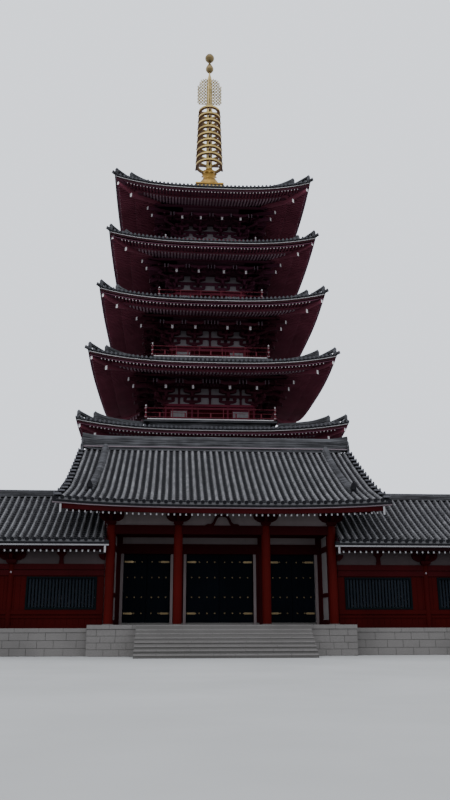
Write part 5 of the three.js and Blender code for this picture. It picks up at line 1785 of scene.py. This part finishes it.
def door_leaf(wide, sign, columns):
    """A leaf on its axis at x 0, running to sign times wide: (boards, gilt fittings)."""
    low, high = DOOR_SILL + 0.01, DOOR_HEAD - 0.01
    front, back = -0.05, 0.05
    boards, gilt = Shape(), Shape()
    count = 5 if wide > 1.5 else 4
    pitch = wide / count
    for i in range(count):
        a, b = i * pitch + 0.004, (i + 1) * pitch - 0.004
        x0, x1 = side_span(sign, a, b)
        boards.stamp(box(x0, x1, front + 0.002, back - 0.002, low, high))
    x0, x1 = sorted((0.0, sign * wide))
    boards.stamp(box(x0, x1, front + 0.014, back - 0.014, low, high))
    boards.stamp(lathe([(0.05, low), (0.05, high)], 14))
    for z in (low + 0.16, (low + high) / 2, high - 0.34):
        a, b = side_span(sign, 0.36, wide - 0.05)
        boards.stamp(box(a, b, back - 0.002, back + 0.04, z, z + 0.18))
    stud = lathe([(0.044, 0), (0.042, 0.012), (0.026, 0.02), (0.022, 0.034), (0.008, 0.042)], 12)
    spots = [wide - STUD_IN - i * STUD_PITCH[columns] for i in range(columns)]
    for row, z in enumerate(STUD_ROWS):
        for i, at in enumerate(spots):
            if row in STRAP_ROWS and i == columns - 1:
                continue
            gilt.stamp(stud, [place(sign * at, front, z, tilt=90)])
        if row in STRAP_ROWS:
            outline = [(0.0, -0.045), (0.44, -0.055), (0.49, -0.03), (0.53, 0), (0.49, 0.03), (0.44, 0.055),
                       (0.0, 0.045)]
            if sign < 0:
                outline = [(-x, up) for x, up in reversed(outline)]
            gilt.stamp(extrude([(x, z + up) for x, up in outline], front - 0.012, front + 0.004))
            pin = lathe([(0.022, 0), (0.018, 0.012), (0.004, 0.018)], 8)
            gilt.stamp(pin, [place(sign * x, front - 0.01, z, tilt=90) for x in (0.08, 0.22, 0.36)])
    return boards, gilt


def build_door_leaves():
    """Six leaves, each one riding on its own body and turning about its hinge's axis."""
    for name, (x0, x1) in DOORWAYS.items():
        wide = (x1 - x0) / 2 - HINGE_IN - LEAF_GAP / 2
        columns = 4 if name == "centre" else 3
        for number, x, sign in ((1, x0 + HINGE_IN, 1), (2, x1 - HINGE_IN, -1)):
            node = f"{name}_door_leaf_{number}"
            boards, gilt = door_leaf(wide, sign, columns)
            spot = [place(x, LEAF_Y)]
            piece(f"{node}_boards", Shape().stamp(boards, spot), "door", node, [node])
            piece(f"{node}_fittings", Shape().stamp(gilt, spot), "fitting", node)


def side_frame(y0, y1, levels, proud):
    """Posts and beams on one face of a side wall that faces +X, with x 0 on the face."""
    shape = Shape()
    for low, high in levels:
        shape.stamp(box(-0.002, proud, y0, y1, low, high))
    for y in (y0, y1):
        shape.stamp(box(-0.002, proud, y - 0.06, y + 0.06, PLATFORM_TOP, levels[-1][1]))
    return shape


def build_hall_sides():
    """Beams on the porch's side walls and on the gables over the wings."""
    levels = [(PLATFORM_TOP, 1.78), (2.98, 3.2), (5.42, 5.72), (BEAM_LOW, BEAM_TOP)]
    frame_dark = Shape()
    porch = side_frame(-17.8, -16.06, levels, 0.04)
    frame_dark.stamp(porch, both_sides(-SIDE_INNER))
    gable = Shape()
    front, back = -17.7, WALL_BACK - 0.2
    for low, high, a, b in ((BEAM_LOW, BEAM_TOP, front, back), (8.1, 8.36, -17.2, back),
                            (9.75, 10.0, -14.7, -10.4)):
        gable.stamp(box(-0.002, 0.06, a, b, low, high))
    for y, top in ((front, 7.75), (-15.8, 8.7), (-14.0, 9.9), (-12.4, 11.0), (-10.8, 9.9)):
        gable.stamp(box(-0.002, 0.09, y - 0.15, y + 0.15, BEAM_TOP, top))
    frame_dark.stamp(gable, both_sides(SIDE_OUTER))
    for y in (-15.8, -12.4):
        z = HALL_ROOF.height_at(y) - 0.62
        frame_dark.stamp(box(SIDE_OUTER, 8.7, y - 0.14, y + 0.14, z - 0.26, z), both_sides())
    piece("hall_side_frames", frame_dark, "dark_red")
    for node in ("hall_left_wall", "hall_right_wall", "hall_back_wall"):
        repaint(node, "plaster")


build_hall_front()
build_doorway_wall()
build_door_leaves()
build_hall_sides()


# Front walls of the wings, for the right one: x is measured from the middle of the building
WING_POSTS = [11.2, 16.34]
WING_THICK = 0.3
WINDOW_STARTS, WINDOW_LONG = [6.68, 11.82], 3.7
WINDOW_LOW, WINDOW_HIGH = 2.32, 4.01
WING_FOOT, WING_SILL, WING_BEAM_LOW, WING_BEAM_TOP, WING_TOP = 1.36, 1.99, 4.07, 4.67, 5.65
WING_BRACKET_TOP = 5.38
SLAT_PITCH, SLAT_WIDE = 0.175, 0.1
BOARD_WIDE, BOARD_THICK, BOARD_GAP = 0.31, 0.02, 0.006


def board_wall(x0, x1, low, high, front, thick):
    """Upright boards side by side with narrow gaps, on a backing."""
    face = front + BOARD_THICK
    shape = box(x0, x1, face, front + thick, low, high)
    for a, b in equal_parts(x0, x1, BOARD_WIDE, BOARD_GAP):
        shape.stamp(box(a, b, front, face, low, high))
    return shape


def wing_front():
    """Shapes of a wing's front wall, by finish."""
    front = WING_FRONT
    parts = {name: Shape() for name in ("red", "crimson", "shaded_plaster", "beam", "teal", "slat", "pale")}
    red, plaster, dark = parts["red"], parts["shaded_plaster"], parts["beam"]
    end = WING_POSTS[-1] + 0.15
    edges = [SIDE_OUTER]
    for start in WINDOW_STARTS:
        edges += [start, start + WINDOW_LONG]
    edges.append(end)
    for a, b in zip(edges[::2], edges[1::2]):
        red.stamp(board_wall(a, b, WING_SILL, WING_BEAM_LOW, front, WING_THICK))
    for start in WINDOW_STARTS:
        stop = start + WINDOW_LONG
        red.stamp(board_wall(start, stop, WING_SILL, WINDOW_LOW, front, WING_THICK))
        red.stamp(box(start, stop, front, front + WING_THICK, WINDOW_HIGH, WING_BEAM_LOW))
        x0, x1, low, high = start + 0.1, stop - 0.1, WINDOW_LOW + 0.1, WINDOW_HIGH - 0.1
        parts["teal"].stamp(frame_round(x0, x1, low, high, front - 0.03, front + 0.2, 0.1))
        parts["slat"].stamp(window_bars(x0, x1, low, high, front + 0.04, SLAT_PITCH, SLAT_WIDE))
        parts["teal"].stamp(box(x0, x1, front + 0.13, front + 0.16, low + 0.7, low + 0.78))
    red.stamp(board_wall(SIDE_OUTER, end, WING_FOOT + 0.16, WING_SILL, front, WING_THICK))
    red.stamp(boxes((SIDE_OUTER, end, front - 0.05, front + WING_THICK, WING_FOOT, WING_FOOT + 0.16),
                    (SIDE_OUTER, end, front - 0.07, front, WINDOW_LOW - 0.24, WINDOW_LOW - 0.04),
                    (SIDE_OUTER, end, front - 0.05, front, WING_SILL - 0.1, WING_SILL)))
    crimson = boxes((SIDE_OUTER, end, front - 0.08, front + WING_THICK, WING_BEAM_LOW, WING_BEAM_LOW + 0.27),
                    (SIDE_OUTER, end, front - 0.05, front + WING_THICK, WING_BEAM_LOW + 0.3, WING_BEAM_TOP))
    parts["crimson"].stamp(crimson)
    plaster.stamp(box(SIDE_OUTER, end, front + 0.02, front + WING_THICK, WING_BEAM_TOP, WING_TOP))
    post = lathe([(0.16, WING_FOOT), (0.16, WING_BEAM_TOP)], 16)
    red.stamp(post, [place(x, front + 0.03) for x in WING_POSTS])
    bracket = boat_bracket(0.72, WING_BEAM_TOP, WING_BRACKET_TOP, 0.16)
    dark.stamp(bracket, [place(x, front - 0.02) for x in WING_POSTS])
    half_arm = extrude([(0, 4.88), (0.16, 4.9), (0.3, 5.02), (0.35, 5.2), (0, 5.2)], -0.08, 0.08)
    dark.stamp(half_arm, [place(SIDE_OUTER, front - 0.02)])
    for x in ((COLUMN_X[-1] + WING_POSTS[0]) / 2, (WING_POSTS[0] + WING_POSTS[1]) / 2):
        strut = [(0.13, WING_BEAM_TOP), (0.1, 4.95), (0.12, 5.08), (0.24, 5.2), (0.24, WING_BRACKET_TOP)]
        dark.stamp(extrude(both_halves(strut), -0.05, 0.06), [place(x, front)])
    dark.stamp(box(SIDE_OUTER, end + 0.7, front - 0.12, front + 0.12, WING_BRACKET_TOP, 5.56))
    cover = lathe([(0.055, 0), (0.052, 0.015), (0.03, 0.03), (0.01, 0.04)], 14)
    for x in WING_POSTS:
        parts["pale"].stamp(cover, [place(x, front - 0.12, WING_BEAM_LOW + 0.16, tilt=90)])
    return parts


def wing_sides():
    """Posts and beams on a wing's end gable and back wall: (dark, red)."""
    dark, red = Shape(), Shape()
    out = WING_POSTS[-1] + 0.15
    for y in (-17.8, -15.3, -12.8, -10.3):
        red.stamp(box(out - 0.002, out + 0.08, y - 0.15, y + 0.15, WING_FOOT, WING_BEAM_TOP))
    for low, high in ((WING_FOOT, WING_FOOT + 0.2), (2.9, 3.1), (WING_BEAM_LOW, WING_BEAM_TOP)):
        red.stamp(box(out - 0.002, out + 0.06, -17.8, -10.3, low, high))
    for y, top in ((-16.4, 6.7), (-14.06, 7.9), (-11.7, 6.7)):
        dark.stamp(box(out - 0.002, out + 0.07, y - 0.12, y + 0.12, WING_BEAM_TOP, top))
    dark.stamp(box(out - 0.002, out + 0.06, -16.9, -11.3, 6.0, 6.24))
    for y in (-17.95, -16.2, -14.06, -11.9):
        z = WING_ROOF.height_at(y) - 0.46
        dark.stamp(box(out, WING_END - 0.27, y - 0.11, y + 0.11, z - 0.22, z))
    back = WALL_BACK
    for x in (6.6, 8.9, 11.2, 13.77, WING_POSTS[-1]):
        red.stamp(bar(x, 0.15, back - 0.002, back + 0.08, WING_FOOT, WING_BEAM_TOP))
    for low, high in ((WING_FOOT, WING_FOOT + 0.2), (WING_BEAM_LOW, WING_BEAM_TOP)):
        red.stamp(box(9.45, out, back - 0.002, back + 0.06, low, high))
    return dark, red


def build_wings():
    """Front, end and back of both wings; the left one is the right one's mirror image."""
    parts = wing_front()
    dark, red = wing_sides()
    parts["beam"].stamp(dark)
    parts["end_red"] = red
    # The wing boards and friezes take darker copies of the red and the plaster: painted shade under the wing
    # eaves
    paints = {"end_red": "dark_red", "red": "wing_red", "shaded_plaster": "wing_plaster", "pale": "faded"}
    for name, out in (("left", -1), ("right", 1)):
        spot = [place(size=(out, 1, 1))]
        for finish, shape in parts.items():
            replaced = [f"wing_{name}_front_wall"] if finish == "red" else []
            paint = paints.get(finish, finish)
            piece(f"wing_{name}_{finish}_work", Shape().stamp(shape, spot), paint, replaces=replaced)
        for node in (f"wing_{name}_end_wall", f"wing_{name}_back_wall"):
            repaint(node, "plaster")


build_wings()


# Stonework: blocks in courses with staggered joints
rng = np.random.default_rng(11)
BLOCK_PROUD, BLOCK_GAP = 0.02, 0.012


def block_facing(wide, low, high, courses, long):
    """Stone blocks on a wall that faces the front, from x 0 to wide; the wall's face is at y 0."""
    shape = Shape()
    tall, inset = (high - low) / courses, BLOCK_GAP / 2
    for row in range(courses):
        at, first = 0.0, True
        while at < wide - 0.02:
            size = long * rng.uniform(0.82, 1.2) * (0.55 if first and row % 2 else 1.0)
            first = False
            stop = wide if wide - at - size < long * 0.4 else at + size
            block = box(at + inset, stop - inset, low + row * tall + inset, low + (row + 1) * tall - inset,
                        -0.02, BLOCK_PROUD + rng.uniform(-0.006, 0.0), 0.008)
            shape.stamp(block, [place(tilt=90)])
            at = stop
    return shape


# Height of the coping's top over the stonework that it covers, and half the gap between its slabs
COPING_RISE, COPING_GAP = 0.015, 0.004


def coping(x0, x1, y0, y1, low, high, proud, long=1.2):
    """A row of slabs along X on the front edge, standing proud of it."""
    shape = Shape()
    for a, b in equal_parts(x0, x1, long, COPING_GAP):
        shape.stamp(box(a, b, y0 - proud, y1, low, high + COPING_RISE, 0.006))
    return shape


# Lines of the stonework: steps, platform, wing bases and podium
STEPS, TREAD, STEP_HALF, STEP_STONE = 8, 0.3, 4.5, 1.35
PLATFORM_HALF, PLATFORM_FRONT = 7.0, -19.06
WING_BASE_END, WING_BASE_FRONT, WING_BASE_LONG, WING_BASE_DEEP = 16.9, -18.5, 9.9, 8.6
PODIUM_HALF, PODIUM_TOP = 9.4, 5.0


def build_steps():
    """Eight steps in stones of uneven length, on a core."""
    steps, risers = Shape(), Shape()
    half, rise = STEP_HALF, PLATFORM_TOP / STEPS
    for i in range(STEPS):
        y = PLATFORM_FRONT - (STEPS - i) * TREAD
        at = -half
        while at < half - 0.02:
            size = STEP_STONE * rng.uniform(0.75, 1.25)
            stop = half if half - at - size < 0.6 else at + size
            x0, x1, top = at + 0.005, stop - 0.005, (i + 1) * rise
            steps.stamp(box(x0, x1, y + 0.002, y + TREAD + 0.04, top - 0.07, top, 0.008))
            risers.stamp(box(x0, x1, y + 0.035, y + TREAD, i * rise, top - 0.075))
            at = stop
    back = PLATFORM_FRONT + 0.03
    core = [(back - STEPS * TREAD, 0.0), (back, 0.0), (back, PLATFORM_TOP - 0.02),
            (back - TREAD, PLATFORM_TOP - 0.02)]
    core = extrude(core, -half + 0.01, half - 0.01, "x")
    # Treads get the paler stone and risers the darker one: painted light on the tops and painted shade on
    # the fronts
    piece("front_step_blocks", steps, "pale_stone", replaces=["front_steps"])
    piece("front_step_risers", risers, "stone")
    piece("front_step_core", core, "stone")


def build_platform():
    """Blocks and copings of the hall's platform and the wings' bases."""
    platform = Shape()
    side = block_facing(2.5, 0.0, 1.33, 4, 0.85)
    platform.stamp(side, both_sides(-PLATFORM_HALF, PLATFORM_FRONT))
    platform.stamp(coping(-PLATFORM_HALF, PLATFORM_HALF, PLATFORM_FRONT, -18.3, 1.34, PLATFORM_TOP, 0.05))
    wing_base = block_facing(WING_BASE_LONG, 0.0, 1.16, 3, 1.0)
    platform.stamp(wing_base, both_sides(PLATFORM_HALF, WING_BASE_FRONT))
    wing_edge = coping(PLATFORM_HALF, WING_BASE_END, WING_BASE_FRONT, -18.0, 1.17, WING_FOOT, 0.04)
    platform.stamp(wing_edge, both_sides())
    end = block_facing(WING_BASE_DEEP, 0.0, 1.16, 3, 1.0)
    platform.stamp(end, [place(WING_BASE_END, WING_BASE_FRONT, turn=90),
                         place(-WING_BASE_END, WALL_BACK, turn=-90)])
    piece("platform_blocks", platform, "pale_stone")


def build_podium():
    """Blocks and copings on the podium's three free sides."""
    podium = Shape()
    reach = PODIUM_HALF
    wall = block_facing(2 * reach, 0.35, 4.66, 9, 0.95)
    corners = ((reach, reach, 180), (reach, -reach, 90), (-reach, reach, -90))
    podium.stamp(wall, [place(x, y, turn=turn) for x, y, turn in corners])
    band = coping(-reach, reach, -reach, -8.9, 4.68, PODIUM_TOP, 0.04)
    band.stamp(coping(-reach, reach, -reach, -9.2, 0.0, 0.34, 0.04))
    podium.stamp(band, QUARTERS[1:])
    piece("podium_blocks", podium, "stone")


for stone_node in ("podium", "stone_platform", "front_steps"):
    repaint(stone_node, "stone")
build_steps()
build_platform()
build_podium()


# Camera, soft light and pale floor
CAMERA_AT = (-2.733 * SCALE, -59.891 * SCALE, 1.65 * SCALE)
CAMERA_PITCH = 16.324
CAMERA_YAW = 3.958
CAMERA_ROLL = 0.072
LENS = 34.2
SENSOR = 36.0

# Half the floor's width, and its two tones
FLOOR_HALF = 400.0
FLOOR_TONES = ((0.4, 0.4, 0.39), (0.45, 0.45, 0.44))

# The studio: light from all round, and one broad soft lamp with its turns about X and Y
SKY_COLOR, SKY_STRENGTH = (0.88, 0.92, 1.0, 1), 1.5
LAMP_STRENGTH, LAMP_SPREAD, LAMP_TURN = 0.7, 60, (38, -16)


def set_camera():
    data = bpy.data.cameras.new("camera")
    data.lens, data.sensor_fit, data.sensor_height = LENS, "VERTICAL", SENSOR
    data.clip_start, data.clip_end = 0.1, 1000
    camera = bpy.data.objects.new("camera", data)
    bpy.context.scene.collection.objects.link(camera)
    turn = (Matrix.Rotation(math.radians(-CAMERA_YAW), 4, "Z")
            @ Matrix.Rotation(math.radians(90 + CAMERA_PITCH), 4, "X")
            @ Matrix.Rotation(math.radians(-CAMERA_ROLL), 4, "Z"))
    camera.matrix_world = Matrix.Translation(CAMERA_AT) @ turn
    bpy.context.scene.camera = camera


def set_lights():
    world = bpy.data.worlds.new("studio")
    world.use_nodes = True
    back = world.node_tree.nodes["Background"]
    back.inputs["Color"].default_value = SKY_COLOR
    back.inputs["Strength"].default_value = SKY_STRENGTH
    bpy.context.scene.world = world
    data = bpy.data.lights.new("soft_key", "SUN")
    data.energy, data.angle = LAMP_STRENGTH, math.radians(LAMP_SPREAD)
    lamp = bpy.data.objects.new("soft_key", data)
    lamp.rotation_euler = (*map(math.radians, LAMP_TURN), 0)
    bpy.context.scene.collection.objects.link(lamp)


def lay_floor():
    mesh = bpy.data.meshes.new("floor")
    corners = [(x * FLOOR_HALF, y * FLOOR_HALF, 0) for x, y in ((-1, -1), (1, -1), (1, 1), (-1, 1))]
    mesh.from_pydata(corners, [], [(0, 1, 2, 3)])
    paint = Paint("pale_floor", 0.85)
    paint.feed("Base Color", paint.ramp(paint.noise(0.4, 3), (0.3, FLOOR_TONES[0]), (0.7, FLOOR_TONES[1])))
    mesh.materials.append(paint.material)
    floor = bpy.data.objects.new("floor", mesh)
    bpy.context.scene.collection.objects.link(floor)


set_camera()
set_lights()
lay_floor()
